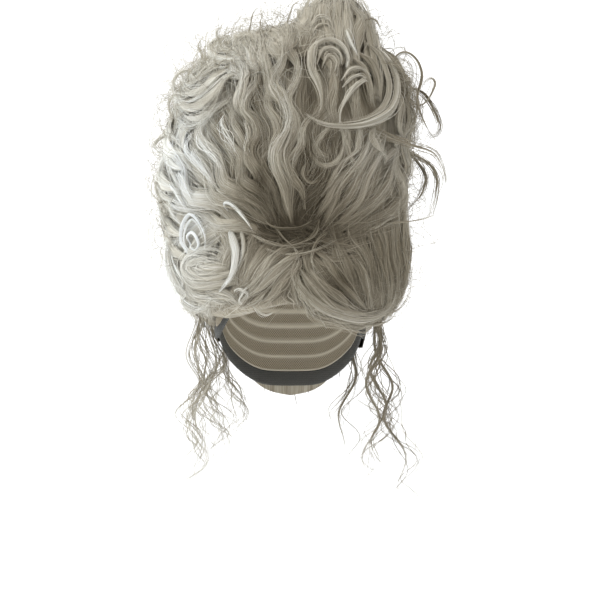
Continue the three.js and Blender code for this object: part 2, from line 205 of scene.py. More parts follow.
# %% [markdown]
# ## Paths on the front
# The front is what was studied most, so its locks are given by x and z as they are seen there. A crimp adds
# the small sideways and outward waves of set hair, and roots in the gathered middle are moved a little,
# because locks that all start in one point look like the spokes of a wheel.

# %% Paths on the front
TURN = 2 * math.pi
CRIMP_LENGTH = 56
CRIMP_RISE = 0.8
CRIMP_START = 3
ROOT_LIFT = 0.3
LIFT_START = 4
GATHERED = Values(x=8, z=-2, wide=36, high=28)


def front_path(points, lift, crimp=0.0, phase=0.0):
    """Path on the front of the form through points given in mm as they are seen from the front."""
    seen = smooth_path(points)
    length = np.sum(np.linalg.norm(np.diff(seen, axis=0), axis=1))
    heading = unit(np.gradient(seen, axis=0))
    turn = TURN * ALONG * length / CRIMP_LENGTH + phase
    started = np.minimum(1, CRIMP_START * ALONG)
    sway = crimp * started * np.sin(turn)
    heave = CRIMP_RISE * crimp * started * np.cos(turn)
    x = (seen[:, 0] - heading[:, 1] * sway) * MM
    z = (seen[:, 1] + heading[:, 0] * sway) * MM
    return on_front(x, z, (lift * np.minimum(1, ROOT_LIFT + LIFT_START * ALONG) + heave) * MM)


def moved_root(points, rng, sideways, upwards):
    """Points whose first one moves at random if it is in the gathered middle, so that roots do not meet."""
    x, z = points[0]
    if abs(x - GATHERED.x) > GATHERED.wide or abs(z - GATHERED.z) > GATHERED.high:
        return points
    return [(x + rng.normal(0, sideways), z + upwards * rng.random())] + points[1:]


print("a crimped lock has one wave in", CRIMP_LENGTH, "mm")

# %% [markdown]
# ## Tubes
# Curves with a bevel would do for a few strands. Thousands of them are quicker as one mesh worked out in
# arrays, where each strand is a closed tube of a few sides. The direction across the tube is carried from
# point to point, so a strand that loops does not twist. A tube may also take part of its shading from the
# lock that it lies on, so that neighbouring strands catch the light together.

# %% Tubes from arrays
SHARED_SHADING = 0.65
STEEP = 0.9
FIRST_CORNER = math.pi / 6


def carried_side(heading):
    """A direction across each path, carried along it without twist."""
    helper = np.where(np.abs(heading[:, 0, 2:]) > STEEP, [[1.0, 0, 0]], [[0, 0, 1.0]])
    side = np.zeros_like(heading)
    side[:, 0] = unit(np.cross(heading[:, 0], helper))
    for i in range(1, heading.shape[1]):
        ahead = heading[:, i]
        side[:, i] = unit(side[:, i - 1] - np.sum(side[:, i - 1] * ahead, -1, keepdims=True) * ahead)
    return side


def tube_arrays(points, radii, sides, beside, flat, facing):
    """Corners, normals, quads and end triangles of closed tubes along n paths of m points each."""
    n, m, _ = points.shape
    heading = unit(np.gradient(points, axis=1))
    if beside is None:
        beside = carried_side(heading)
    else:
        beside = unit(beside - np.sum(beside * heading, -1, keepdims=True) * heading)
    over = np.cross(heading, beside)
    angle = TURN * np.arange(sides) / sides + FIRST_CORNER
    cosine, sine = np.cos(angle)[:, None], np.sin(angle)[:, None]
    ring = cosine * beside[:, :, None] + flat * sine * over[:, :, None]
    corners = (points[:, :, None] + radii[:, :, None, None] * ring).reshape(-1, 3)
    normals = unit(flat * cosine * beside[:, :, None] + sine * over[:, :, None])
    if facing is not None:
        normals = unit((1 - SHARED_SHADING) * normals + SHARED_SHADING * facing[:, :, None])
    first = np.arange(n)[:, None, None] * m * sides
    along = np.arange(m - 1)[None, :, None] * sides
    a = np.arange(sides)[None, None, :]
    b = (a + 1) % sides
    quads = np.stack([first + along + k for k in (a, b, b + sides, a + sides)], -1).reshape(-1, 4)
    fan = np.array([(0, k, k + 1) for k in range(1, sides - 1)])
    start = first + fan[None, :, ::-1]
    end = first + (m - 1) * sides + fan[None]
    return corners, normals.reshape(-1, 3), quads, np.concatenate([start, end]).reshape(-1, 3)


print("a strand takes", SHARED_SHADING, "of its shading from its lock")

# %% [markdown]
# ## A mesh from arrays
# Blender can read corners and faces from Python lists, which is slow for a million triangles. Its
# foreach_set calls take whole arrays at once. Each corner also carries a fibre value: its place across and
# along the hair and its tone, which the materials read later.

# %% A mesh from arrays


def mesh_from_arrays(name, corners, quads, triangles, fibre, normals=None):
    """A smooth mesh object with a fibre attribute: place across, place along and tone."""
    mesh = bpy.data.meshes.new(name)
    mesh.vertices.add(len(corners))
    mesh.vertices.foreach_set("co", corners.astype(np.float32).ravel())
    loops = np.concatenate([quads.ravel(), triangles.ravel()])
    mesh.loops.add(len(loops))
    mesh.loops.foreach_set("vertex_index", loops.astype(np.int32))
    starts = np.concatenate([np.arange(len(quads)) * 4, len(quads) * 4 + np.arange(len(triangles)) * 3])
    mesh.polygons.add(len(starts))
    mesh.polygons.foreach_set("loop_start", starts.astype(np.int32))
    mesh.polygons.foreach_set("use_smooth", np.ones(len(starts), bool))
    mesh.update(calc_edges=True)
    mesh.validate()
    if normals is not None:
        mesh.normals_split_custom_set_from_vertices(normals.astype(np.float32))
    layer = mesh.attributes.new("fibre", "FLOAT_VECTOR", "POINT")
    layer.data.foreach_set("vector", fibre.astype(np.float32).ravel())
    piece = bpy.data.objects.new(name, mesh)
    bpy.context.scene.collection.objects.link(piece)
    print(name, "has", 2 * len(quads) + len(triangles), "triangles")
    return piece


# %% [markdown]
# ## Painted light and shade
# A pile of hair is darkest where strands meet deep inside it and palest where it faces the light. The lamps
# do part of that. Soft spots of painted shade and painted light on the front do the rest: broad ones for
# whole regions, and small painted shadows in the gaps between the locks.

# %% Painted light and shade
Shade = namedtuple("Shade", "x z wide high tone")
# Broad spots of painted light and shade: negative tones paint shade, positive ones paint light.
LIGHT_AND_SHADE_SPOTS = [
    Shade(6, -3, 46, 21, -0.95),
    Shade(-6, 32, 70, 26, -0.6),
    Shade(88, -22, 46, 56, -0.3),
    Shade(10, -58, 60, 30, -0.36),
    Shade(-22, 90, 56, 64, -0.28),
    Shade(52, 70, 40, 40, -0.12),
    Shade(50, -52, 14, 15, -0.35),
    Shade(-112, 75, 50, 80, 0.7),
    Shade(-105, -30, 40, 50, 0.14),
    Shade(98, 60, 36, 60, 0.15),
    Shade(45, 165, 56, 56, -0.1),
    Shade(45, 216, 40, 24, -0.16),
    Shade(-60, 160, 54, 40, 0.36),
]
# Small spots of painted shadow in the gaps between the locks.
GAP_SHADOW_SPOTS = [
    Shade(17, 73, 8, 9, -0.7),
    Shade(25, 54, 6, 7, -0.6),
    Shade(39, 88, 5, 10, -0.5),
    Shade(20, 133, 8, 20, -0.5),
    Shade(78, 136, 6, 18, -0.4),
    Shade(62, 128, 8, 16, -0.3),
    Shade(-69, 100, 6, 14, -0.5),
    Shade(-28, 50, 6, 14, -0.5),
    Shade(-30, 146, 5, 18, -0.5),
    Shade(-40, 78, 5, 14, -0.4),
    Shade(-92, 96, 6, 14, -0.3),
    Shade(6, 180, 12, 10, -0.5),
    Shade(-4, 4, 12, 8, -0.4),
    Shade(24, 10, 10, 8, -0.4),
]
DEEP_SHADES = LIGHT_AND_SHADE_SPOTS + GAP_SHADOW_SPOTS
FRONT_END = 0.055
FRONT_FADE = 0.13


def painted_light_and_shade(places, shades=LIGHT_AND_SHADE_SPOTS):
    """Painted shade in the gathered front and on the shaded side, and painted light on the lit side."""
    tone = np.zeros(places.shape[:-1])
    front = smoothstep((FRONT_END - places[..., 1]) / FRONT_FADE)
    for row in shades:
        across = (places[..., 0] - row.x * MM) / (row.wide * MM)
        up = (places[..., 2] - row.z * MM) / (row.high * MM)
        tone += row.tone * np.exp(-(across**2) - up**2)
    return tone * front


print(len(LIGHT_AND_SHADE_SPOTS), "broad shades and", len(GAP_SHADOW_SPOTS), "hollows")

# %% [markdown]
# ## From strands to a piece
# One object for each strand would slow Blender down, and one mesh for the whole wig would be hard to
# change. So a tress gathers the strands of one piece, draws its chances from a seed of its own, and becomes
# one mesh.

# %% Gathering the strands of a piece
STRAND_SIDES = 3


class Tress:
    """Bodies and strands of one piece, gathered lock by lock."""

    def __init__(self, name, seed, shades=LIGHT_AND_SHADE_SPOTS):
        self.name = name
        self.shades = shades
        self.rng = np.random.default_rng(seed)
        self.parts = []

    def add(self, points, radii, tone, sides=STRAND_SIDES, beside=None, flat=1.0, facing=None):
        # Every strand takes the painted light and shade of the spots into its tone.
        tone = tone + painted_light_and_shade(points, self.shades)
        self.parts.append((points, radii, tone, sides, beside, flat, facing))

    def piece(self):
        made = [[], [], [], [], []]
        first = 0
        for points, radii, tone, sides, beside, flat, facing in self.parts:
            corners, normals, quads, ends = tube_arrays(points, radii, sides, beside, flat, facing)
            steps = np.linalg.norm(np.diff(points, axis=1), axis=2)
            along = np.concatenate([np.zeros((len(points), 1)), np.cumsum(steps, axis=1)], axis=1)
            start = self.rng.uniform(0, 1, (len(points), 1, 1))
            girth = radii.max() * np.pi * np.abs(np.linspace(-1, 1, sides, endpoint=False))
            across = start + np.broadcast_to(girth, radii.shape + (sides,))
            rest = [np.repeat(part[:, :, None], sides, axis=2) for part in (along, tone)]
            fibre = np.stack([across] + rest, -1).reshape(-1, 3)
            for part, array in zip(made, (corners, quads + first, ends + first, fibre, normals)):
                part.append(array)
            first += len(corners)
        return mesh_from_arrays(self.name, *[np.concatenate(part) for part in made])


# %% [markdown]
# ## The course of a lock
# A lock is not a round rope. It is wide and low, thin at its root and its tip, and it lies on the hair
# below it. So each path gets two directions, beside it and away from the cap, and a fullness that changes
# along it.

# %% The course of a lock
Course = namedtuple("Course", "path beside lifted")
ROOT_END = 0.3
TIP_START = 0.5
ROUNDNESS = 0.8


def course_of(path, up):
    """A path with its directions beside it and away from the cap, or towards a given up."""
    heading = unit(np.gradient(path, axis=0))
    away = outward(path) if up is None else np.broadcast_to(up, path.shape)
    beside = unit(np.cross(heading, away))
    return Course(path, beside, unit(np.cross(beside, heading)))


def towards_tip(t):
    """Zero on the first half of a lock, then rising to one at its tip."""
    return smoothstep((t - TIP_START) / (1 - TIP_START))


def fullness(t, root, tip):
    """Share of its full size that a lock has at a place along it."""
    return (root + (1 - root) * smoothstep(t / ROOT_END)) * (1 - (1 - tip) * towards_tip(t))


def laid(course, t, aside, over):
    """Places at distances in mm beside a course and above it."""
    places = sample(course.path, t) + (aside * MM)[..., None] * sample(course.beside, t)
    return places + (over * MM)[..., None] * sample(course.lifted, t)


def faced(course, t, across):
    """Direction in which a rounded lock faces at a place across it, from -1 to 1."""
    return unit(sample(course.lifted, t) + ROUNDNESS * across[..., None] * sample(course.beside, t))


print("a lock is full from", ROOT_END, "to", TIP_START, "of its length")

# %% [markdown]
# ## Locks
# Hair clings together in locks. Hair curves could show that, but they leave no mesh behind. So a lock is
# one rounded body with fine strands laid over its dome. Body and strands share the shading of the dome,
# which reads as one soft lock, while ripples, uneven lengths and a few strays keep its edge and end from
# looking cut.

# %% A lock of hair
BODY_WIDTH = 0.46
BODY_THICKNESS = 0.42
BODY_HEIGHT = 0.36
BODY_TAPER = 0.94
BODY_SIDES = 8
# The body is painted a little darker than its strands, as the shade beneath them.
BODY_SHADE = -0.1
SHORTEST = 0.84
Strands = namedtuple("Strands", "least per_mm")
LOCK_STRANDS = Strands(8, 1.9)
STRAND_FLATNESS = 0.6
STRAY_SHARE = 0.22
STRAY_REACH = 6
EDGE_CROWDING, EDGE_POWER = 0.35, 7
IN_PLACE = (0.05, 0.95)
# Strands on the top of a lock's dome are painted paler and those at its sides darker, as painted light and
# shade.
PAINTED_CREST_LIGHT = 0.2
CREST_LEVEL = 0.75
FRAY_START = 0.3
DOME = Values(least=0.04, spread=(0.86, 1.06), stray_rise=0.5, fray_rise=0.4)
OWN_WAVE = Values(turns=(0.6, 2.2), spread=0.35, size=0.4, full_width=6)
TAPER = Values(root=0.6, root_end=0.2, tip=0.6)
STRAND_TONE = Values(spread=0.06, tip=0.1)
RIPPLE_TURNS = (0.5, 1.5)
Ripple = namedtuple("Ripple", "size slant")
RIPPLES = [Ripple(1.0, 2.2), Ripple(0.6, 4.5)]
STREAKS = [Ripple(0.1, 6), Ripple(0.08, 15)]


def strand_count(rule, width):
    """Number of strands of a lock of a given width in mm."""
    return round(rule.least + rule.per_mm * width)


def add_body(tress, course, width, height, tone, root, tip, steps, body):
    """The rounded body under the strands of a lock."""
    share = np.linspace(0, 1, steps + 1)[None]
    t = share * tress.rng.uniform(SHORTEST, 1)
    full = fullness(t, root, tip)
    girth = body * BODY_WIDTH * width * full * (1 - BODY_TAPER * towards_tip(share))
    middle = np.zeros_like(t)
    places = laid(course, t, middle, BODY_HEIGHT * height * full)
    flat = BODY_THICKNESS * height / (BODY_WIDTH * width)
    # Painted shade darkens the body under the strands.
    tress.add(places, girth * MM, tone + BODY_SHADE + middle, BODY_SIDES, sample(course.beside, t), flat,
              faced(course, t, middle))


def add_lock(tress, path, width, height, tone=0.0, strands=None, root=0.4, tip=0.4, wander=0.1, fray=0.16,
             steps=20, fine=(0.2, 0.36), body=1.0, stray=STRAY_SHARE, up=None):
    """A lock of hair along a path. Sizes are in mm; tone runs from -1, dark, to 1, pale."""
    rng = tress.rng
    strands = strands or strand_count(LOCK_STRANDS, width)
    course = course_of(path, up)
    add_body(tress, course, width, height, tone, root, tip, steps, body)

    each = (strands, 1)
    place = ((np.arange(strands) + rng.uniform(*IN_PLACE, strands)) / strands)[:, None]
    across = (2 * place - 1) + EDGE_CROWDING * (2 * place - 1) ** EDGE_POWER
    dome = np.sqrt(np.clip(1 - across**2, DOME.least, 1))
    t = np.linspace(0, 1, steps + 1)[None] * rng.uniform(SHORTEST, 1, each)
    full = fullness(t, root, tip)
    phases = rng.uniform(0, TURN, 4)
    turns = rng.uniform(*RIPPLE_TURNS, 2)
    ripple = sum(row.size * np.sin(TURN * turns[k] * t + phases[k] + row.slant * across)
                 for k, row in enumerate(RIPPLES))
    own = rng.uniform(*OWN_WAVE.turns, each) * TURN * t + rng.uniform(0, TURN, each)
    far = np.where(rng.random(each) < stray, STRAY_REACH, 1)
    near = rng.normal(0, OWN_WAVE.spread, each) + OWN_WAVE.size * np.sin(own)
    near = near * far * np.minimum(1, width / OWN_WAVE.full_width)
    leave = rng.normal(0, 1, each) * fray * width * smoothstep((t - FRAY_START) / (1 - FRAY_START)) ** 2
    aside = ((0.5 * across + wander * ripple) * width + near) * full + leave
    over = (dome * rng.uniform(*DOME.spread, each) * height + DOME.stray_rise * (far - 1)) * full
    over = over + np.abs(rng.normal(0, DOME.fray_rise, each) * leave)
    taper = TAPER.root + (1 - TAPER.root) * smoothstep(t / TAPER.root_end)
    taper = taper * (1 - TAPER.tip * towards_tip(t))
    streak = sum(row.size * np.sin(row.slant * across + phases[2 + k]) for k, row in enumerate(STREAKS))
    # Painted light on the top of the dome, painted shade at its sides.
    crest_shading = PAINTED_CREST_LIGHT * (dome - CREST_LEVEL)
    shade = tone + crest_shading + streak + rng.normal(0, STRAND_TONE.spread, each) + STRAND_TONE.tip * t
    radii = rng.uniform(*fine, each) * taper * MM
    tress.add(laid(course, t, aside, over), radii, shade, STRAND_SIDES, sample(course.beside, t),
              STRAND_FLATNESS, faced(course, t, across))


print("a lock 10 mm wide has", strand_count(LOCK_STRANDS, 10), "strands")

# %% [markdown]
# ## Hair fibre
# Platinum fibre is nearly white, with ash and straw tones that change from strand to strand and along each
# strand. The tone rides on the mesh as an attribute. A node group turns it into colour and adds fine
# streaks, so the strands and the hair beneath them share one fibre and differ only in their values. Node
# trees take many small calls, so a few helpers come first.

# %% Helpers for node trees


def math_node(tree, operation, first, second):
    """A math node whose inputs are sockets or plain numbers."""
    node = tree.nodes.new("ShaderNodeMath")
    node.operation = operation
    for socket, value in zip(node.inputs, (first, second)):
        if isinstance(value, (int, float)):
            socket.default_value = value
        else:
            tree.links.new(value, socket)
    return node.outputs[0]


def range_node(tree, value, low, high, to_low, to_high):
    """A map range node from low..high to to_low..to_high."""
    node = tree.nodes.new("ShaderNodeMapRange")
    for key, number in (("From Min", low), ("From Max", high), ("To Min", to_low), ("To Max", to_high)):
        node.inputs[key].default_value = number
    tree.links.new(value, node.inputs["Value"])
    return node.outputs[0]


def new_group(name, sockets):
    """A shader node group with named float or colour sockets, and its two ends."""
    group = bpy.data.node_groups.new(name, "ShaderNodeTree")
    for socket, side, kind in sockets:
        group.interface.new_socket(socket, in_out=side, socket_type="NodeSocket" + kind)
    return group, group.nodes.new("NodeGroupInput").outputs, group.nodes.new("NodeGroupOutput").inputs


def fibre_parts(tree):
    """The place across, the place along and the tone that the mesh carries."""
    fibre = tree.nodes.new("ShaderNodeAttribute")
    fibre.attribute_name = "fibre"
    split = tree.nodes.new("ShaderNodeSeparateXYZ")
    tree.links.new(fibre.outputs["Vector"], split.inputs[0])
    return split.outputs


# %% Fibre node group
Stop = namedtuple("Stop", "at color")
FIBRE_COLORS = [
    Stop(0.0, (0.070, 0.054, 0.029, 1)),
    Stop(0.28, (0.236, 0.202, 0.142, 1)),
    Stop(0.55, (0.480, 0.440, 0.352, 1)),
    Stop(0.78, (0.700, 0.684, 0.618, 1)),
    Stop(1.0, (0.880, 0.897, 0.885, 1)),
]
STREAK_LENGTH = 0.03
STREAK_DETAIL = 3.0
STREAK_RANGE = (0.3, 0.7)
ROUGHNESS = (0.46, 0.62)
FIBRE_SOCKETS = [
    ("Tone Shift", "INPUT", "Float"),
    ("Streak Width", "INPUT", "Float"),
    ("Streak Depth", "INPUT", "Float"),
    ("Color", "OUTPUT", "Color"),
    ("Roughness", "OUTPUT", "Float"),
    ("Height", "OUTPUT", "Float"),
]


def fibre_group():
    group, inputs, outputs = new_group("hair_fibre", FIBRE_SOCKETS)
    nodes, link = group.nodes, group.links.new
    parts = fibre_parts(group)
    stretch = nodes.new("ShaderNodeCombineXYZ")
    link(math_node(group, "DIVIDE", parts["X"], inputs["Streak Width"]), stretch.inputs["X"])
    link(math_node(group, "DIVIDE", parts["Y"], STREAK_LENGTH), stretch.inputs["Y"])
    streaks = nodes.new("ShaderNodeTexNoise")
    streaks.inputs["Scale"].default_value = 1.0
    streaks.inputs["Detail"].default_value = STREAK_DETAIL
    link(stretch.outputs[0], streaks.inputs["Vector"])
    streak = range_node(group, streaks.outputs["Fac"], *STREAK_RANGE, -1, 1)
    streak = math_node(group, "MULTIPLY", streak, inputs["Streak Depth"])
    tone = math_node(group, "ADD", parts["Z"], inputs["Tone Shift"])
    tone = math_node(group, "ADD", tone, streak)
    ramp = nodes.new("ShaderNodeValToRGB")
    stops = ramp.color_ramp.elements
    stops[0].color = FIBRE_COLORS[0].color
    stops[1].color = FIBRE_COLORS[-1].color
    for row in FIBRE_COLORS[1:-1]:
        stops.new(row.at).color = row.color
    link(range_node(group, tone, -1, 1, 0, 1), ramp.inputs["Fac"])
    link(ramp.outputs["Color"], outputs["Color"])
    link(range_node(group, streaks.outputs["Fac"], 0, 1, *ROUGHNESS), outputs["Roughness"])
    link(streaks.outputs["Fac"], outputs["Height"])
    return group


FIBRE = fibre_group()
print("node group", FIBRE.name, "has", len(FIBRE.nodes), "nodes")

# %% [markdown]
# ## Hair materials
# Two materials place the fibre group with their own values. Single strands have narrow, faint streaks. The
# hair beneath them is one smooth surface, so there the streaks are wider and deeper, and the bump is
# stronger. The shine is the same all over, so it is set on the shader itself.

# %% Hair materials
Look = namedtuple("Look", "name tone streak_width streak_depth bump")
FIBRE_RELIEF = 0.0006
FIBRE_SHINE = 0.4


def grouped_material(name, group, values):
    """A material with a placed node group and its values."""
    material = bpy.data.materials.new(name)
    material.use_nodes = True
    placed = material.node_tree.nodes.new("ShaderNodeGroup")
    placed.node_tree = group
    for key, value in values.items():
        placed.inputs[key].default_value = value
    return material, placed.outputs


def add_relief(material, height, strength, distance):
    """A bump from a height to the shader's normal."""
    nodes, link = material.node_tree.nodes, material.node_tree.links.new
    relief = nodes.new("ShaderNodeBump")
    relief.inputs["Strength"].default_value = strength
    relief.inputs["Distance"].default_value = distance
    link(height, relief.inputs["Height"])
    link(relief.outputs["Normal"], nodes["Principled BSDF"].inputs["Normal"])


def hair_material(look):
    values = {"Tone Shift": look.tone, "Streak Width": look.streak_width, "Streak Depth": look.streak_depth}
    material, made = grouped_material(look.name, FIBRE, values)
    shader = material.node_tree.nodes["Principled BSDF"]
    material.node_tree.links.new(made["Color"], shader.inputs["Base Color"])
    material.node_tree.links.new(made["Roughness"], shader.inputs["Roughness"])
    add_relief(material, made["Height"], look.bump, FIBRE_RELIEF)
    shader.inputs["Specular IOR Level"].default_value = FIBRE_SHINE
    return material


HAIR = hair_material(Look("hair_strands", -0.05, 0.0008, 0.18, 0.3))
# The hair beneath has a darker tone shift, as painted shade.
UNDER_HAIR = hair_material(Look("hair_beneath", -0.1, 0.0011, 0.25, 0.6))
print("materials:", HAIR.name, UNDER_HAIR.name)

# %% [markdown]
# ## The hair beneath
# Between the locks you look into more hair, never through it. A closed skin just under the locks stands for
# that hidden mass. It is the same form drawn in by a few millimetres, with soft furrows and fibre streaks,
# and its tone is painted darker as the shade between the locks.
# Every piece ends with the same few calls: its material and the body that it rides on.

# %% Skin under the crown
UNDER_TUCK = 9
BACK_FILL = 4
BACK_FROM, BACK_FADE = 55, 40
SPLIT = -6
CROWN_TOP = (43, 1, 238)
CROWN_LAST_RING = 222
CROWN_RINGS = 36
SKIN_SLICES = 144
SKIN_RADIUS = 0.11
# Painted shade: the hair beneath is a little darker than the locks over it.
UNDER_SHADE = -0.1
UNDER_MOTTLE = Values(size=0.12, fine=900, broad=410, slant=60)
Furrow = namedtuple("Furrow", "deep count start")
FURROWS = [Furrow(1.6, 22, 0), Furrow(1.2, 37, 40)]


def finished(piece, material, slot, *nodes):
    """Gives a piece its material and body, and hides the solids that it stands for. The slot is not used.
    """
    piece.data.materials.append(material)
    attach(piece, "root")
    if nodes:
        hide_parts(*nodes)


def folded(turn):
    """Turn from the brow to either side, from 0 to 180 degrees."""
    return np.abs((turn + 180) % 360 - 180)


def ring_quads(levels, slices, closed):
    """Quads between neighbouring rings of points; closed joins the last ring to the first."""
    a = np.arange(slices)
    b = (a + 1) % slices
    rows = []
    for i in range(levels if closed else levels - 1):
        low, high = i * slices, (i + 1) % levels * slices
        rows.append(np.stack([low + a, low + b, high + b, high + a], -1))
    return np.concatenate(rows)


def pole_fans(levels, slices):
    """Triangles that close the first and the last ring with two poles, which follow the rings."""
    a = np.arange(slices)
    b = (a + 1) % slices
    last = (levels - 1) * slices
    low = np.full(slices, levels * slices)
    return np.concatenate([np.stack([b, a, low], -1), np.stack([last + a, last + b, low + 1], -1)])


def skin_fibre(corners):
    girth = np.arctan2(corners[:, 0], -corners[:, 1]) * SKIN_RADIUS
    mottle = np.sin(girth * UNDER_MOTTLE.fine)
    mottle = mottle * np.sin(girth * UNDER_MOTTLE.broad + corners[:, 2] * UNDER_MOTTLE.slant)
    # Painted shade of the hair beneath, with the painted light and shade of the spots.
    shade = UNDER_SHADE + UNDER_MOTTLE.size * mottle + painted_light_and_shade(corners, DEEP_SHADES)
    return np.stack([girth, corners[:, 2], shade], -1)


turns = np.arange(SKIN_SLICES) * 360 / SKIN_SLICES
furrow = sum(row.deep * np.sin(np.radians(turns * row.count + row.start)) for row in FURROWS)
tuck = (furrow - UNDER_TUCK + BACK_FILL * smoothstep((folded(turns) - BACK_FROM) / BACK_FADE)) * MM
levels = np.linspace(SPLIT, CROWN_LAST_RING, CROWN_RINGS) * MM
rings = [on_form(turns, np.full(SKIN_SLICES, z), tuck) for z in levels]
corners = np.concatenate(rings + [np.array([(0, 0, SPLIT), CROWN_TOP]) * MM])
quads = ring_quads(CROWN_RINGS, SKIN_SLICES, False)
ends = pole_fans(CROWN_RINGS, SKIN_SLICES)
crown_skin = mesh_from_arrays("crown_under_hair", corners, quads, ends, skin_fibre(corners))
finished(crown_skin, UNDER_HAIR, "hair", "crown_hair")

# %% [markdown]
# ## The hair round the cap
# Below the crown the hair is a collar with an uneven hem, high at the brow and low at the nape. Its outside
# is the same form. Its inside follows the cap, so the collar is a closed ring that leaves the hollow free.

# %% Skin round the cap
Hem = namedtuple("Hem", "turn z")
HEM = [Hem(0, -72), Hem(50, -86), Hem(90, -84), Hem(125, -112), Hem(152, -156), Hem(180, -168)]
CAP_INSIDE = Values(width=152, length=194, height=112)
CAP_CLEARANCE = 2.6
HemRing = namedtuple("HemRing", "share depth")
HEM_EDGE = [HemRing(0, 7), HemRing(0.05, 3), HemRing(0.15, 0.5), HemRing(0.3, 0), HemRing(0.5, 0),
            HemRing(0.75, 0), HemRing(1, 0)]
INNER_SHARES = (1, 0.75, 0.5, 0.25, 0)
NO_ENDS = np.zeros((0, 3), int)


def on_cap(turn, tilt, grow):
    """Places on the cap's inside, grown outwards by a wall in mm. Tilt is degrees down from the crown."""
    turn, tilt = np.radians(turn), np.radians(tilt)
    x = (CAP_INSIDE.width / 2 + grow) * np.sin(tilt) * np.sin(turn)
    y = -(CAP_INSIDE.length / 2 + grow) * np.sin(tilt) * np.cos(turn)
    z = (CAP_INSIDE.height + grow) * np.cos(tilt) - CAP_INSIDE.height
    return np.stack(np.broadcast_arrays(x, y, z), -1) * MM


def hem_level(turn):
    """Level of the hem in mm at a turn from the brow."""
    return column(HEM, "turn", "z", folded(turn))


hem = hem_level(turns) * MM
rings = []
for edge in HEM_EDGE:
    rings.append(on_form(turns, hem + (SPLIT * MM - hem) * edge.share, tuck - edge.depth * MM))
for share in INNER_SHARES:
    level = (hem + (SPLIT * MM - hem) * share) / MM + CAP_INSIDE.height
    tilt = np.degrees(np.arccos(np.clip(level / (CAP_INSIDE.height + CAP_CLEARANCE), -1, 1)))
    rings.append(on_cap(turns, tilt, CAP_CLEARANCE))
corners = np.concatenate(rings)
quads = ring_quads(len(rings), SKIN_SLICES, True)
collar_skin = mesh_from_arrays("collar_under_hair", corners, quads, NO_ENDS, skin_fibre(corners))
finished(collar_skin, UNDER_HAIR, "hair", "fringe", "right_side_hair", "nape_hair", "left_side_hair")

# %% [markdown]
# ## The fan of the crown
# At the front the hair is gathered low on the hairline and fans up and out in S-waves. A table gives eleven
# main directions. Locks between its rows fill the pile, because real hair fills its gaps with more of the
# same. Two narrow gaps are left free, so the pile has deep dark partings.

# %% Fan locks that fill the pile
Fan = namedtuple("Fan", "at from_x from_z via_x via_z to_x to_z wave")
FAN = [
    Fan(0, -24, -7, -86, 22, -120, 78, 4),
    Fan(1, -20, -4, -72, 48, -104, 122, 5),
    Fan(2, -16, -2, -58, 72, -82, 152, 5),
    Fan(3, -12, 0, -42, 84, -56, 178, 6),
    Fan(4, -7, 0, -24, 92, -32, 184, 7),
    Fan(5, -2, 0, -8, 96, -10, 190, 6),
    Fan(6, 3, 0, 8, 84, 12, 172, 5),
    Fan(7, 8, -1, 28, 66, 42, 112, 6),
    Fan(8, 13, -2, 54, 60, 78, 104, 5),
    Fan(9, 18, -4, 72, 42, 106, 86, 4),
    Fan(10, 22, -7, 80, 14, 111, 44, 4),
]
# The fan lies under the front locks, so its tone is painted darker, as the shade under them.
FAN_LOCKS = Values(count=36, shift=0.08, lift=(-5, -1), width=(15, 22), height=(5, 8), tone=-0.2)
FAN_GAPS = (4.45, 6.55)
FAN_GAP_HALF = 0.12
FAN_ROOTS = Values(aside=7, down=12)
FAN_LENGTH = (0.9, 1.12)
FAN_SWAY = Values(size=(0.8, 1.4), waves=1.6, shift=0.5, start=3)


def fan_path(rng, at, lift):
    """Path of a wavy lock between the rows of the fan."""
    keys = Fan._fields[1:]
    from_x, from_z, via_x, via_z, to_x, to_z, wave = (column(FAN, "at", key, at) for key in keys)
    from_x = from_x + rng.normal(0, FAN_ROOTS.aside)
    from_z = from_z - rng.uniform(0, FAN_ROOTS.down)
    t = ALONG
    longer = rng.uniform(*FAN_LENGTH)
    x = (1 - t) ** 2 * from_x + 2 * t * (1 - t) * via_x + t**2 * to_x * (0.5 + 0.5 * longer)
    z = (1 - t) ** 2 * from_z + 2 * t * (1 - t) * via_z + t**2 * to_z * longer
    heading = unit(np.stack([np.gradient(x), np.gradient(z)], -1))
    size = wave * rng.uniform(*FAN_SWAY.size)
    sway = size * np.sin(TURN * t * FAN_SWAY.waves + rng.normal(0, FAN_SWAY.shift))
    sway = sway * np.minimum(1, FAN_SWAY.start * t)
    x = (x - heading[:, 1] * sway) * MM
    z = (z + heading[:, 0] * sway) * MM
    return on_front(x, z, lift * np.minimum(1, LIFT_START * t) * MM)


fan = Tress("crown_fan_locks", 11, DEEP_SHADES)
for at in np.linspace(FAN[0].at, FAN[-1].at, FAN_LOCKS.count):
    at = np.clip(at + fan.rng.normal(0, FAN_LOCKS.shift), FAN[0].at, FAN[-1].at)
    if min(abs(at - gap) for gap in FAN_GAPS) < FAN_GAP_HALF:
        continue
    path = fan_path(fan.rng, at, fan.rng.uniform(*FAN_LOCKS.lift))
    width, height = fan.rng.uniform(*FAN_LOCKS.width), fan.rng.uniform(*FAN_LOCKS.height)
    add_lock(fan, path, width, height, FAN_LOCKS.tone, strands=10, root=0.3, tip=0.5, steps=16)
finished(fan.piece(), HAIR, "hair")
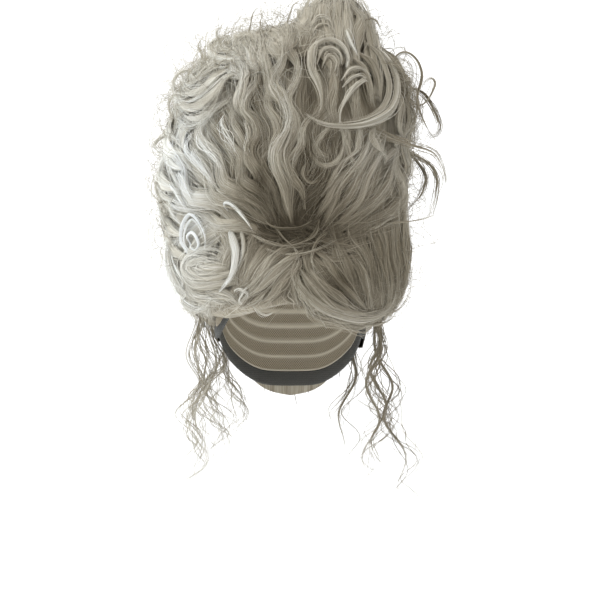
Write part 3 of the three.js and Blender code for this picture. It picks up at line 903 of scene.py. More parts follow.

# %% [markdown]
# ## Locks that show
# The locks on top are what the eye follows, so each one is given one by one. It starts in the gathered
# middle, rises over the others, and keeps its own width, height and tone. One table holds the left and the
# middle.

# %% Locks on the left and in the middle of the crown
Lock = namedtuple("Lock", "name points lift width height tone")
LEFT_CROWN_LOCKS = [
    Lock("left_low", [(-24, -5), (-60, 8), (-95, 20), (-112, 38), (-118, 58)], 2, 16, 7, 0.15),
    Lock("left_edge", [(-22, 0), (-55, 18), (-82, 30), (-100, 48), (-108, 75), (-104, 98)], 3, 16, 7, 0.2),
    Lock("left_arc", [(-20, 4), (-48, 28), (-70, 44), (-84, 62), (-92, 84), (-90, 104)], 4, 15, 7, 0.1),
    Lock("left_wave", [(-16, 6), (-40, 30), (-58, 50), (-70, 68), (-80, 90), (-76, 112), (-84, 122)], 4, 14,
         7, 0.05),
    Lock("mid_wave_1", [(-14, 8), (-34, 34), (-48, 58), (-49, 75), (-53, 95), (-62, 108), (-60, 120)], 4,
         13, 7, 0.0),
    Lock("mid_wave_2", [(-12, 10), (-28, 38), (-42, 62), (-45, 85), (-44, 100), (-50, 118), (-44, 132)], 5,
         12, 7, 0.05),
    Lock("mid_s", [(-10, 12), (-24, 40), (-33, 65), (-30, 88), (-38, 104), (-42, 116), (-33, 130),
         (-30, 144), (-35, 158), (-46, 168)], 5, 13, 8, 0.0),
    Lock("mid_s_beside", [(-46, 112), (-50, 124), (-42, 136), (-40, 150), (-48, 162), (-60, 170)], 4, 12, 7,
         0.05),
    Lock("mid_high", [(-6, 12), (-18, 40), (-22, 70), (-14, 92), (-10, 112), (-20, 130), (-22, 150),
         (-18, 172), (-26, 188)], 4, 13, 7, 0.05),
    Lock("long_column", [(2, 14), (-3, 36), (-10, 58), (-11, 78), (-4, 98), (-1, 114), (-7, 132),
         (-14, 146)], 7, 12, 8, 0.4),
    Lock("column_top", [(-4, 110), (-7, 130), (-14, 150), (-10, 170), (-4, 188)], 4, 14, 6, 0.05),
    Lock("left_rim_1", [(-98, 62), (-110, 84), (-113, 108), (-106, 126)], 1, 16, 6, -0.1),
    Lock("left_rim_2", [(-112, 10), (-120, 34), (-122, 58), (-117, 84)], 1, 16, 6, 0.1),
    Lock("fill_left", [(-102, 12), (-109, 38), (-114, 66), (-117, 92)], -2, 22, 6, 0.1),
    Lock("fill_left_high", [(-110, 68), (-107, 92), (-101, 112), (-90, 130)], -1, 24, 6, 0.0),
    Lock("top_1", [(-44, 150), (-54, 160), (-66, 172), (-74, 186)], 3, 14, 6, 0.15),
    Lock("top_2", [(-30, 158), (-44, 176), (-56, 192)], 3, 14, 6, 0.1),
    Lock("top_3", [(-20, 160), (-28, 178), (-36, 196)], 3, 14, 6, 0.05),
    Lock("top_4", [(-8, 166), (-12, 184), (-16, 202)], 3, 14, 6, 0.0),
    Lock("top_6", [(-34, 172), (-42, 188), (-50, 200)], 2, 14, 6, 0.1),
    Lock("top_7", [(-14, 176), (-22, 190), (-30, 203)], 2, 14, 6, 0.05),
]
print(len(LEFT_CROWN_LOCKS), "locks on the left")

# %% [markdown]
# ## Locks on the right
# Right of the middle the hair is drawn back in long straight locks, with small ring curls between them and
# wider locks behind that close the side.

# %% Locks on the right of the crown
RIGHT_CROWN_LOCKS = [
    Lock("column_beside", [(6, 16), (0, 42), (-2, 66), (0, 90), (4, 110), (2, 130), (4, 150), (8, 168),
         (6, 186)], 4, 12, 7, 0.15),
    Lock("right_s", [(15, 25), (8, 44), (3, 66), (4, 80), (10, 95), (22, 106), (30, 112)], 6, 9, 5, 0.2),
    Lock("ring_left", [(36, 72), (28, 78), (25, 88), (28, 98), (40, 104)], 5, 5, 4, 0.15),
    Lock("ring_low", [(16, 66), (15, 56), (19, 47), (27, 47), (32, 56)], 4, 4, 3, 0.05),
    Lock("ring_cross", [(14, 84), (22, 72), (36, 66), (50, 74), (56, 92)], 4, 4, 3, 0.1),
    Lock("long_1", [(28, 6), (46, 40), (60, 62), (76, 86), (86, 98)], 4, 8, 5, 0.1),
    Lock("long_2", [(24, 14), (44, 44), (62, 66), (74, 84), (78, 100)], 5, 6, 4, 0.2),
    Lock("long_3", [(34, 4), (58, 38), (68, 60), (80, 84), (88, 100)], 3, 9, 5, 0.05),
    Lock("long_4", [(38, 2), (65, 30), (76, 56), (86, 80), (92, 98)], 4, 9, 5, 0.1),
    Lock("long_5", [(40, -2), (70, 20), (88, 40), (98, 60), (104, 84)], 3, 12, 6, 0.0),
    Lock("long_6", [(40, -6), (75, 8), (98, 24), (108, 44), (112, 70)], 3, 14, 6, -0.05),
    Lock("long_7", [(44, -8), (76, 2), (102, 8), (114, 20)], 3, 12, 5, -0.1),
    Lock("long_8", [(30, 34), (50, 66), (64, 84), (66, 104)], 5, 4, 3, 0.2),
    Lock("under_loop_1", [(48, 106), (52, 90), (60, 76), (66, 60)], 4, 9, 5, 0.1),
    Lock("under_loop_2", [(66, 106), (68, 90), (62, 74)], 4, 8, 5, 0.1),
    Lock("under_loop_3", [(80, 106), (82, 90), (88, 70)], 4, 9, 5, 0.05),
    Lock("under_loop_4", [(98, 96), (98, 78), (94, 62)], 4, 9, 5, 0.05),
    Lock("cross_strand", [(55, 0), (85, 8), (108, 11)], 5, 2, 2, 0.2),
    Lock("right_fill", [(94, 14), (103, 34), (106, 56), (100, 82)], 2, 15, 6, 0.0),
    Lock("fill_right", [(106, -6), (104, 18), (103, 42), (103, 70)], -2, 22, 6, 0.0),
    Lock("fill_right_high", [(108, 44), (110, 72), (111, 98), (107, 124)], -2, 22, 6, 0.0),
    Lock("right_rim_1", [(107, -56), (109, -20), (108, 16), (109, 56)], -4, 16, 5, -0.05),
    Lock("right_rim_2", [(108, 34), (112, 70), (117, 104), (110, 138)], 1, 16, 6, 0.0),
    Lock("top_5", [(8, 160), (6, 182), (2, 203)], 3, 13, 6, 0.0),
    Lock("top_8", [(14, 172), (10, 190), (8, 206)], 2, 13, 6, 0.0),
]
print(len(RIGHT_CROWN_LOCKS), "locks on the right")

# %% [markdown]
# ## Making the front locks
# Drawn as they are, the rows would look combed. Each lock gets a crimp of its own: strong in the waves,
# faint in the long straight locks and in the fills behind them.

# %% Front locks of the crown
FILL_STRANDS = 16
STRAIGHT = ("long", "fill")
STRAIGHT_CRIMP, WAVED_CRIMP = (0.5, 2), (3, 6)
CROWN_ROOTS = {"sideways": 6, "upwards": -14}


def add_row(tress, row, path=None, steps=8, **style):
    """The lock of one row, along its own points unless a path is given, with more steps for more points."""
    if path is None:
        path = front_path(row.points, row.lift)
    steps = steps + 2 * len(row.points)
    add_lock(tress, path, row.width, row.height, row.tone, steps=steps, **style)


for side, seed, rows in (("left", 17, LEFT_CROWN_LOCKS), ("right", 19, RIGHT_CROWN_LOCKS)):
    tress = Tress("crown_front_locks_" + side, seed, DEEP_SHADES)
    for row in rows:
        points = moved_root(row.points, tress.rng, **CROWN_ROOTS)
        crimps = STRAIGHT_CRIMP if row.name.startswith(STRAIGHT) else WAVED_CRIMP
        crimp = tress.rng.uniform(*crimps)
        path = front_path(points, row.lift, crimp, tress.rng.uniform(0, TURN))
        strands = FILL_STRANDS if row.name.startswith("fill") else None
        add_row(tress, row, path, steps=6, strands=strands)
    finished(tress.piece(), HAIR, "hair")

# %% [markdown]
# ## Where the hair is gathered
# At the hairline the roots of all those locks cross each other. A bare meeting point would show how they
# were drawn, so short locks are laid over it at all slopes, as loose hair is when it is pinned.

# %% Tangle where the hair is gathered
Arc = namedtuple("Arc", "x wide z high slope half bow lift")
TANGLE = Arc(8, 19, -10, 9, 1.1, (12, 22), (-7, 7), (-4, 2))
TANGLE_COUNT = 19
TANGLE_LOCK = Values(width=(4, 9), height=4, tone=(-0.3, 0.1))


def crossing_path(rng, arc):
    """A short bowed path of random place and slope on the front."""
    middle = np.array([rng.normal(arc.x, arc.wide), rng.normal(arc.z, arc.high)])
    slope = rng.uniform(-arc.slope, arc.slope)
    along = rng.uniform(*arc.half) * np.array([math.cos(slope), math.sin(slope)])
    bend = rng.uniform(*arc.bow) * np.array([-math.sin(slope), math.cos(slope)])
    return front_path([middle - along, middle + bend, middle + along], rng.uniform(*arc.lift))


tangle = Tress("gathered_tangle", 29)
rng = tangle.rng
for _ in range(TANGLE_COUNT):
    path = crossing_path(rng, TANGLE)
    width, tone = rng.uniform(*TANGLE_LOCK.width), rng.uniform(*TANGLE_LOCK.tone)
    add_lock(tangle, path, width, TANGLE_LOCK.height, tone, root=0.5, wander=0.25, steps=12, fray=0.25)
finished(tangle.piece(), HAIR, "hair")

# %% [markdown]
# ## Curls of the crown
# On the right stands a barrel of curls: one big loop, smaller arcs inside it and locks behind, which are
# painted darker as the shade behind the loop.
# Spirals could be written as formulas, but set curls are uneven, so their points are listed one by one.

# %% Curls on the right of the crown
CROWN_CURLS = [
    Lock("big_loop", [(76, 192), (88, 174), (97, 152), (98, 134), (92, 119), (80, 110), (65, 104),
         (48, 102), (34, 103), (22, 108), (11, 117)], 9, 8, 5, 0.2),
    Lock("big_loop_inner", [(70, 192), (83, 176), (91, 156), (93, 138), (87, 122), (76, 113), (62, 108),
         (48, 107)], 6, 5, 4, 0.1),
    Lock("left_s_lock", [(32, 187), (22, 177), (19, 164), (21, 152), (26, 142), (29, 130), (28, 118),
         (21, 109)], 9, 8, 5, 0.15),
    Lock("inner_loop", [(76, 151), (62, 142), (52, 129), (46, 116), (46, 103)], 8, 4, 3, 0.25),
    Lock("barrel_1", [(20, 166), (24, 179), (36, 184), (48, 179), (54, 167), (52, 156)], 8, 5, 4, 0.3),
    Lock("barrel_2", [(26, 164), (30, 174), (39, 177), (47, 171), (48, 160)], 7, 4, 3, 0.2),
    Lock("barrel_3", [(31, 160), (34, 168), (40, 169), (44, 163), (42, 154)], 6, 3.5, 3, 0.1),
    Lock("barrel_ground", [(24, 178), (34, 174), (42, 162), (40, 142)], 1, 18, 6, -0.1),
    Lock("peak_arc", [(19, 197), (25, 206), (33, 208), (39, 203)], 8, 2, 2, 0.3),
    Lock("peak_arc_low", [(21, 192), (27, 200), (35, 201), (41, 196)], 7, 2, 2, 0.15),
    Lock("small_arc_1", [(50, 148), (56, 156), (66, 158), (76, 150)], 7, 3.4, 3, 0.25),
    Lock("small_arc_2", [(51, 141), (58, 149), (67, 151), (73, 145)], 6, 3, 3, 0.2),
    Lock("bright_short", [(51, 198), (53, 188), (57, 178), (62, 168)], 10, 3.2, 3, 0.6),
    # The locks behind the loop and on the shoulder are painted darker, as shade.
    Lock("behind_loop_1", [(62, 172), (70, 160), (75, 144), (79, 120)], 3, 10, 5, -0.1),
    Lock("behind_loop_2", [(66, 180), (80, 164), (86, 146), (86, 124)], 2, 10, 5, -0.15),
    Lock("behind_loop_3", [(56, 168), (60, 150), (62, 130), (62, 108)], 2, 12, 5, -0.05),
    Lock("behind_loop_4", [(44, 160), (42, 140), (40, 122), (44, 106)], 2, 12, 5, -0.1),
    Lock("right_shoulder_1", [(92, 186), (104, 168), (112, 146), (116, 124)], 2, 14, 6, -0.1),
    Lock("right_shoulder_2", [(98, 168), (110, 140), (114, 116), (110, 92)], 3, 14, 6, -0.1),
    Lock("right_shoulder_3", [(100, 150), (106, 126), (104, 104), (112, 84)], 3, 12, 6, -0.05),
    Lock("left_top_curl", [(-44, 170), (-60, 166), (-72, 172), (-74, 184), (-64, 192), (-50, 190)], 5, 9, 6,
         0.05),
]
crown_curls = Tress("crown_curls", 37)
for row in CROWN_CURLS:
    add_row(crown_curls, row, root=0.25, fray=0.14, stray=0.08)
print(len(CROWN_CURLS), "smooth curls")

# %% [markdown]
# ## Brushed-out curls
# At the upper left the curls are brushed out into a soft roll. They use the same rows, with fewer and finer
# strands that wander and fray, over a thinner body.

# %% Brushed-out curls on the left of the crown
FUZZY_CURLS = [
    Lock("left_roll", [(-42, 158), (-58, 150), (-69, 137), (-81, 126), (-94, 122), (-105, 132), (-107, 147),
         (-100, 160), (-90, 168)], 6, 20, 7, -0.1),
    Lock("left_roll_inner", [(-56, 162), (-70, 152), (-82, 140), (-94, 137), (-100, 147), (-93, 158),
         (-80, 163)], 5, 18, 6, -0.1),
    Lock("left_roll_heart", [(-66, 166), (-78, 156), (-88, 150), (-92, 156), (-82, 166)], 5, 14, 6, -0.15),
    Lock("left_roll_under", [(-60, 128), (-76, 116), (-92, 112), (-106, 120), (-110, 134)], 3, 14, 6, 0.05),
    Lock("left_top_fuzz", [(-50, 176), (-62, 176), (-66, 184), (-56, 188), (-44, 180)], 4, 14, 6, 0.0),
    Lock("left_top_fuzz_2", [(-30, 184), (-42, 190), (-52, 184), (-48, 174), (-36, 174)], 4, 14, 6, 0.0),
]
FUZZY_STRANDS = Strands(0, 1.7)
FUZZY = {"wander": 0.3, "fray": 0.35, "fine": (0.16, 0.28), "body": 0.5}
for row in FUZZY_CURLS:
    add_row(crown_curls, row, steps=6, strands=strand_count(FUZZY_STRANDS, row.width), **FUZZY)
finished(crown_curls.piece(), HAIR, "hair")

# %% [markdown]
# ## The top
# Seen from the front, the top of the pile is an edge that hair runs over. Locks are laid front to back
# across it, each at the height where the form ends.

# %% Locks over the top
OVER = Values(count=30, left=-82, right=92, front=-70, back=74, points=14, lowest=125)
JITTER = 0.3
OVER_BOW = Values(size=(4, 9), waves=1.3, shift=(0, 6.28))
OVER_LOCK = Values(lift=(-3, 2), width=(13, 20), height=(4, 7), tone=(0.02, 0.1), least_points=5)
TOP_LEVELS = np.arange(60, 226, 0.25)


def top_level(x, y):
    """Height at which the form ends above places given by x and y."""
    left, right, front, back = (column(FORM, "z", side, TOP_LEVELS) * MM for side in SIDES)
    across = (x[:, None] - (right - left) / 2) / ((right + left) / 2)
    along = (y[:, None] - (back - front) / 2) / ((front + back) / 2)
    inside = np.abs(across) ** SQUARENESS + np.abs(along) ** SQUARENESS <= 1
    inside[:, 0] = True
    return np.max(np.where(inside, TOP_LEVELS, 0), axis=1) * MM


over_top = Tress("crown_top_locks", 43)
rng = over_top.rng
for k in range(OVER.count):
    y = np.linspace(OVER.front, OVER.back, OVER.points) * MM
    turn = np.linspace(0, TURN * OVER_BOW.waves, OVER.points)
    bow = rng.uniform(*OVER_BOW.size) * np.sin(turn + rng.uniform(*OVER_BOW.shift))
    share = k + rng.uniform(-JITTER, JITTER)
    x = (OVER.left + (OVER.right - OVER.left) * share / (OVER.count - 1) + bow) * MM
    z = top_level(x, y)
    kept = z > OVER.lowest * MM
    if np.count_nonzero(kept) < OVER_LOCK.least_points:
        continue
    path = smooth_path(np.stack([x, y, z], -1)[kept])
    path = path + outward(path) * rng.uniform(*OVER_LOCK.lift) * MM
    width, height = rng.uniform(*OVER_LOCK.width), rng.uniform(*OVER_LOCK.height)
    tone = rng.normal(*OVER_LOCK.tone)
    add_lock(over_top, path, width, height, tone, strands=15, root=0.5, wander=0.16, steps=13)
finished(over_top.piece(), HAIR, "hair")

# %% [markdown]
# ## The peak
# The peak is rolled sideways. Arcs cross it from left to right, one behind the other, and locks climb its
# front up to the roll, so that it closes from every side.

# %% Peak roll
PEAK = Values(x=45, z=201, reach=33, rise=40, front=-8, back=32, arcs=8, fronts=8)
PEAK_SWELL = 0.3
PEAK_WEAVE = Values(size=6, turns=1.5, shift=9)
PEAK_ARC = Values(start=200, end=-20, shift=2, width=15, height=4, tone=(0, 0.1))
PEAK_FRONT = Values(edge=0.94, shift=0.05, width=13, height=5, tone=(0.05, 0.1))
Rise = namedtuple("Rise", "level half front")
PEAK_RISE = [Rise(176, 34, 68), Rise(196, 36, 52), Rise(212, 34, 38), Rise(226, 29, 27), Rise(237, 24, 16),
             Rise(243, 20, 4)]
peak = Tress("peak_roll", 41)
rng = peak.rng
for share in np.linspace(0, 1, PEAK.arcs):
    angle = np.radians(np.linspace(PEAK_ARC.start, PEAK_ARC.end, PATH_POINTS))
    swell = 1 - PEAK_SWELL * (2 * share - 1) ** 2
    weave = PEAK_WEAVE.size * np.sin(angle * PEAK_WEAVE.turns + share * PEAK_WEAVE.shift)
    x = PEAK.x + PEAK.reach * swell * np.cos(angle) + rng.normal(0, PEAK_ARC.shift)
    y = PEAK.front + (PEAK.back - PEAK.front) * share + weave
    z = PEAK.z + PEAK.rise * swell * np.sin(angle)
    path = np.stack([x, y, z], -1) * MM
    tone = rng.normal(*PEAK_ARC.tone)
    add_lock(peak, path, PEAK_ARC.width, PEAK_ARC.height, tone, strands=14, root=0.5, tip=0.5, steps=16)
for share in np.linspace(-PEAK_FRONT.edge, PEAK_FRONT.edge, PEAK.fronts):
    depth = (1 - abs(share) ** SQUARENESS) ** (1 / SQUARENESS)
    points = []
    for row in PEAK_RISE:
        x = PEAK.x + row.half * (share + rng.normal(0, PEAK_FRONT.shift))
        points.append((x, -depth * row.front, row.level))
    path = smooth_path(points) * MM
    tone = rng.normal(*PEAK_FRONT.tone)
    add_lock(peak, path, PEAK_FRONT.width, PEAK_FRONT.height, tone, strands=20, root=0.3, tip=0.7, steps=14)
finished(peak.piece(), HAIR, "hair")

# %% [markdown]
# ## The back
# The picture shows the front only. Behind it such an updo is swept up from the nape towards the peak, so
# locks climb the form in slow waves, lean as they rise, and end in soft bends. Every second one starts at
# the hem and the others start higher, which keeps the roots from lining up.

# %% Upswept locks
UPSWEPT = Values(count=46, from_turn=78, turns=204, top=(150, 226), lift=(-5, 2))
UPSWEPT_START = Values(above_hem=(4, 14), higher=(-12, 60))
UPSWEPT_SWAY = Values(size=(3, 7), waves=2.0, lean=(-8, 8))
UPSWEPT_LOCK = Values(width=(20, 30), height=(6, 10), steps=(19, 13))


def wavy(rng, wave):
    """A sideways wave along a path, of random size and phase."""
    return rng.uniform(*wave.size) * np.sin(TURN * (ALONG * wave.waves + rng.random()))


def spaced_turn(rng, k, row):
    """Turn of the lock number k of a row, with a little chance."""
    return row.from_turn + row.turns * (k + rng.uniform(-JITTER, JITTER)) / (row.count - 1)


upswept = Tress("crown_back_locks", 23)
rng = upswept.rng
for k in range(UPSWEPT.count):
    turn = spaced_turn(rng, k, UPSWEPT)
    if k % 2:
        low = rng.uniform(*UPSWEPT_START.higher)
    else:
        low = float(hem_level(turn)) + rng.uniform(*UPSWEPT_START.above_hem)
    high = rng.uniform(*UPSWEPT.top)
    z = (low + (high - low) * ALONG) * MM
    sway = wavy(rng, UPSWEPT_SWAY) + rng.uniform(*UPSWEPT_SWAY.lean) * ALONG**2
    path = on_form(turn + sway, z, rng.uniform(*UPSWEPT.lift) * np.ones(PATH_POINTS) * MM)
    width, height = rng.uniform(*UPSWEPT_LOCK.width), rng.uniform(*UPSWEPT_LOCK.height)
    add_lock(upswept, path, width, height, 0.0, strands=11, root=0.25, steps=UPSWEPT_LOCK.steps[k % 2])
finished(upswept.piece(), HAIR, "hair")

# %% [markdown]
# ## The sides
# Both sides rise in shorter waves that swell off the form and sink back into it. They cover the line where
# the locks of the front end and those of the back begin.

# %% Waves on both sides
WAVES = Values(count=14, low=-14, height=150, spread=8, length=(70, 105), turn=(68, 104))
WAVE_SWAY = Values(size=(1.5, 3.5), waves=1.3, lean=(-3, 3))
WAVE_HEAVE = Values(lift=(-3, 1), waves=(0.7, 1.3))
Flank = namedtuple("Flank", "sign heave tone")
# The lit left flank is painted paler and the shaded right one darker.
FLANKS = [Flank(-1, 4, 0.15), Flank(1, 2, -0.05)]
WAVE_LOCK = Values(width=(13, 20), height=6)


def spaced_level(rng, k, row):
    """Lowest level in mm of the lock number k of a row, with a little chance."""
    return row.low + row.height * k / row.count + rng.uniform(-row.spread, row.spread)


side_waves = Tress("crown_side_waves", 47)
rng = side_waves.rng
for flank in FLANKS:
    for k in range(WAVES.count):
        z = (spaced_level(rng, k, WAVES) + rng.uniform(*WAVES.length) * ALONG) * MM
        sway = wavy(rng, WAVE_SWAY) + rng.uniform(*WAVE_SWAY.lean) * ALONG
        level = rng.uniform(*WAVE_HEAVE.lift)
        turn = TURN * (ALONG * rng.uniform(*WAVE_HEAVE.waves) + rng.random())
        lift = (level + flank.heave * np.sin(turn)) * MM * np.minimum(1, LIFT_START * ALONG)
        path = on_form(flank.sign * rng.uniform(*WAVES.turn) + sway, z, lift)
        width = rng.uniform(*WAVE_LOCK.width)
        add_lock(side_waves, path, width, WAVE_LOCK.height, flank.tone, strands=13, root=0.15, fray=0.2,
                 steps=13)
print(2 * WAVES.count, "waves on the sides")

# %% [markdown]
# ## Sweeps at the left
# The left side is the lit one, and from there a plain row of waves would show as a seam beside the front.
# Long locks leave the front, run back over the seam and turn up into the flow of the back. Their ends sink
# into the hair, and the lower ones are held in, because the outline is slim there.

# %% Sweeps on the left side
SWEEPS = Values(count=12, low=-74, height=180, spread=6, rise=(60, 95), bend=1.6)
SWEEP_WAVE = Values(size=(2, 4), waves=1.6)
SWEEP_TURN = Values(start=(50, 62), back=(34, 48))
SWEEP_LIFT = Values(least=1, swell=(4, 7), early=0.55, wave=0.6)
SWEEP_LOCK = Values(width=(13, 18), height=6, tone=0.05)
Sink = namedtuple("Sink", "depth start fade")
LOW_SINK = Sink(8, 5, 50)
END_SINK = Sink(7, 0.7, 0.3)


def sunk(sink, at):
    """Depth in mm to which a lock has sunk into the hair at a place."""
    return sink.depth * smoothstep((at - sink.start) / sink.fade)


for k in range(SWEEPS.count):
    low = spaced_level(rng, k, SWEEPS)
    wave = wavy(rng, SWEEP_WAVE)
    z = (low + rng.uniform(*SWEEPS.rise) * ALONG ** SWEEPS.bend + wave * ALONG) * MM
    start, back = rng.uniform(*SWEEP_TURN.start), rng.uniform(*SWEEP_TURN.back)
    turn = start + back * np.sin(TURN / 4 * ALONG) + wave * ALONG
    swell = rng.uniform(*SWEEP_LIFT.swell) * np.sin(np.pi * ALONG ** SWEEP_LIFT.early)
    inwards = sunk(LOW_SINK, -z / MM) + sunk(END_SINK, ALONG)
    lift = (SWEEP_LIFT.least + swell - SWEEP_LIFT.wave * wave - inwards) * MM
    width = rng.uniform(*SWEEP_LOCK.width)
    add_lock(side_waves, on_form(-turn, z, lift), width, SWEEP_LOCK.height, SWEEP_LOCK.tone, strands=14,
             root=0.2, wander=0.14, fray=0.25, steps=15)
finished(side_waves.piece(), HAIR, "hair")

# %% [markdown]
# ## Standing curls
# Loose curls stand off both sides of the pile. They are drawn in space, each with its root inside the pile,
# and are thin, because a few strands that left a lock are all they hold.

# %% Standing curls
Loop = namedtuple("Loop", "name points width tone")
# The curls on the right are painted darker than those on the left, as the shade on the side away from the
# key.
LOOPS = [
    Loop("right_long", [(96, -26, 160), (106, -28, 176), (112, -30, 181), (120, -32, 180), (128, -33, 172),
         (132, -34, 160), (131, -34, 150), (128, -34, 140), (128, -34, 130), (131, -34, 120),
         (136, -34, 108), (142, -34, 98), (150, -34, 88)], 3, -0.35),
    Loop("right_ring", [(126, -30, 130), (132, -32, 128), (138, -33, 133), (143, -34, 141), (146, -34, 150),
         (142, -33, 155), (135, -32, 150), (131, -31, 144)], 3, -0.2),
    Loop("right_thick", [(122, -26, 146), (134, -30, 140), (141, -32, 130), (147, -33, 118),
         (151, -34, 107), (149, -34, 99), (142, -33, 96), (136, -32, 101)], 4.5, -0.5),
    Loop("right_hook_1", [(72, -90, 104), (98, -76, 93), (122, -64, 86), (143, -56, 79), (151, -54, 67),
         (155, -54, 52), (154, -54, 36)], 4.5, -0.35),
    Loop("right_hook_2", [(104, -34, 86), (124, -32, 78), (140, -30, 69), (148, -28, 55), (147, -28, 40),
         (143, -28, 22), (138, -28, 6)], 4.5, -0.4),
    Loop("right_hook_3", [(102, -22, 86), (120, -20, 79), (131, -18, 68), (137, -18, 55), (133, -18, 40),
         (125, -17, 30), (114, -14, 20)], 5, -0.45),
    Loop("right_line", [(96, -70, 8), (118, -60, 10), (134, -56, 13), (146, -54, 18)], 1.6, -0.2),
    Loop("left_thin_1", [(-96, -34, 160), (-104, -33, 163), (-112, -32, 160), (-117, -31, 153),
         (-116, -30, 146), (-110, -28, 140)], 2.4, 0.0),
    Loop("left_thin_2", [(-106, -24, 136), (-114, -24, 139), (-121, -23, 134), (-122, -22, 126),
         (-119, -21, 118), (-110, -20, 112)], 2.4, -0.05),
    Loop("left_tuft", [(-110, -18, 106), (-122, -18, 100), (-134, -19, 94), (-138, -20, 87),
         (-130, -20, 80), (-116, -20, 74)], 3.4, 0.05),
    Loop("left_lower", [(-114, -24, 30), (-126, -24, 30), (-135, -26, 42), (-132, -28, 56),
         (-118, -28, 64)], 3.4, 0.05),
    Loop("flyaway_1", [(-42, -20, 194), (-40, -22, 210), (-37, -24, 222), (-30, -24, 229)], 1.2, -0.05),
    Loop("flyaway_2", [(-30, -20, 197), (-30, -22, 212), (-27, -22, 221)], 1.0, -0.1),
    Loop("flyaway_3", [(-6, -20, 204), (-1, -22, 218), (3, -24, 229), (11, -24, 235)], 1.4, -0.05),
    Loop("flyaway_4", [(-62, -30, 184), (-72, -32, 194), (-73, -32, 204), (-64, -32, 208)], 1.4, -0.05),
    Loop("flyaway_5", [(-78, -30, 170), (-88, -32, 178), (-92, -32, 189), (-86, -32, 196)], 1.4, -0.05),
    Loop("flyaway_6", [(74, -24, 214), (84, -26, 216), (90, -26, 208), (94, -26, 198)], 1.2, -0.3),
]
print(len(LOOPS), "standing curls")

# %% [markdown]
# ## The soft bulge on the right
# Behind the standing curls the right side swells out in a bulge of very fine hair. It has almost no body,
# only many thin strands, so the light comes through it at the outline.

# %% Standing curls and the bulge behind them
# The bulge is painted dark, as the shade on the right side.
BULGE = [
    Loop("bulge_1", [(96, -36, 158), (114, -36, 152), (126, -36, 136), (126, -35, 116), (110, -32, 98)], 14,
         -0.3),
    Loop("bulge_2", [(98, -26, 142), (116, -28, 134), (125, -28, 116), (114, -26, 92)], 14, -0.35),
    Loop("bulge_3", [(100, -42, 172), (114, -42, 163), (121, -40, 146), (116, -38, 124)], 10, -0.3),
    Loop("bulge_4", [(100, -20, 120), (114, -20, 112), (121, -20, 98), (112, -20, 80)], 12, -0.3),
]
TO_VIEWER = (0.0, -1.0, 0.1)
BULGE_STYLE = {"height": 6, "strands": 34, "root": 0.5, "wander": 0.3, "fray": 0.3, "steps": 14,
               "fine": (0.12, 0.2), "body": 0.05}
LOOP_STYLE = {"root": 0.7, "tip": 0.5, "fray": 0.14, "body": 0.5}
LOOP_LOCK = Values(width=1.25, height=0.6, steps=10)
LOOP_STRANDS = Strands(2, 2)
loops = Tress("standing_curls", 53)
for row in BULGE:
    path = smooth_path(row.points) * MM
    add_lock(loops, path, row.width, tone=row.tone, up=TO_VIEWER, **BULGE_STYLE)
for row in LOOPS:
    path = smooth_path(row.points) * MM
    width, height = LOOP_LOCK.width * row.width, LOOP_LOCK.height * row.width
    strands, steps = strand_count(LOOP_STRANDS, row.width), LOOP_LOCK.steps + 2 * len(row.points)
    add_lock(loops, path, width, height, row.tone, strands, steps=steps, up=TO_VIEWER, **LOOP_STYLE)
finished(loops.piece(), HAIR, "hair")

# %% [markdown]
# ## The left of the fringe
# The fringe leaves the same gathered middle. On the left it falls in a broad sweep to the temple, where it
# ends in a round roll. Wide locks behind close the gaps, as the lower layers of cut hair do.

# %% Fringe locks on the left
LEFT_FRINGE = [
    Lock("left_fill_1", [(-30, 4), (-48, -10), (-62, -30), (-70, -64)], 0, 24, 6, 0.0),
    Lock("left_fill_2", [(-52, 10), (-78, -4), (-96, -28), (-98, -64)], 0, 26, 6, 0.15),
    Lock("left_fill_3", [(-24, 0), (-40, -20), (-48, -44), (-46, -72)], 0, 22, 6, -0.05),
    Lock("temple_fill", [(-68, 14), (-62, -2), (-59, -18), (-64, -36)], 2, 15, 5, 0.0),
    Lock("left_fill_4", [(-80, 12), (-104, -4), (-112, -30), (-104, -60)], 0, 22, 6, 0.25),
    Lock("left_sweep_1", [(6, -14), (-8, -24), (-22, -38), (-34, -52), (-48, -62)], 5, 12, 5, 0.1),
    Lock("left_sweep_2", [(12, -22), (-2, -31), (-16, -44), (-28, -58), (-42, -68)], 6, 11, 5, 0.15),
    Lock("left_sweep_3", [(-8, -10), (-22, -20), (-34, -36), (-44, -54), (-56, -64)], 3, 12, 5, -0.05),
    Lock("left_sweep_4", [(14, -30), (4, -38), (-8, -52), (-20, -66), (-30, -72)], 4, 12, 5, 0.05),
    Lock("left_sweep_5", [(-2, -16), (-18, -26), (-30, -44), (-38, -58), (-46, -72)], 2, 14, 5, 0.0),
    Lock("roll_top", [(-52, -50), (-76, -53), (-93, -46), (-99, -35), (-95, -26), (-86, -22), (-70, -20),
         (-58, -26)], 6, 13, 6, 0.15),
    Lock("roll_middle", [(-56, -42), (-76, -46), (-89, -40), (-91, -33), (-83, -28), (-70, -28),
         (-60, -33)], 7, 14, 6, 0.15),
    Lock("roll_heart", [(-60, -37), (-74, -39), (-82, -36), (-78, -33), (-66, -33)], 8, 14, 5, 0.15),
    Lock("cheek_low", [(-100, -52), (-90, -62), (-74, -66), (-58, -70)], 4, 16, 5, 0.2),
    Lock("cheek_low_2", [(-84, -54), (-72, -60), (-58, -66), (-44, -72)], 3, 14, 5, 0.15),
]
print(len(LEFT_FRINGE), "locks in the left of the fringe")

# %% [markdown]
# ## The right of the fringe
# On the right, U-shaped sweeps cross the brow and turn up again at the side, over a panel of straight locks
# that falls from the crown. The two halves are made in the same way, with less crimp than the crown has.

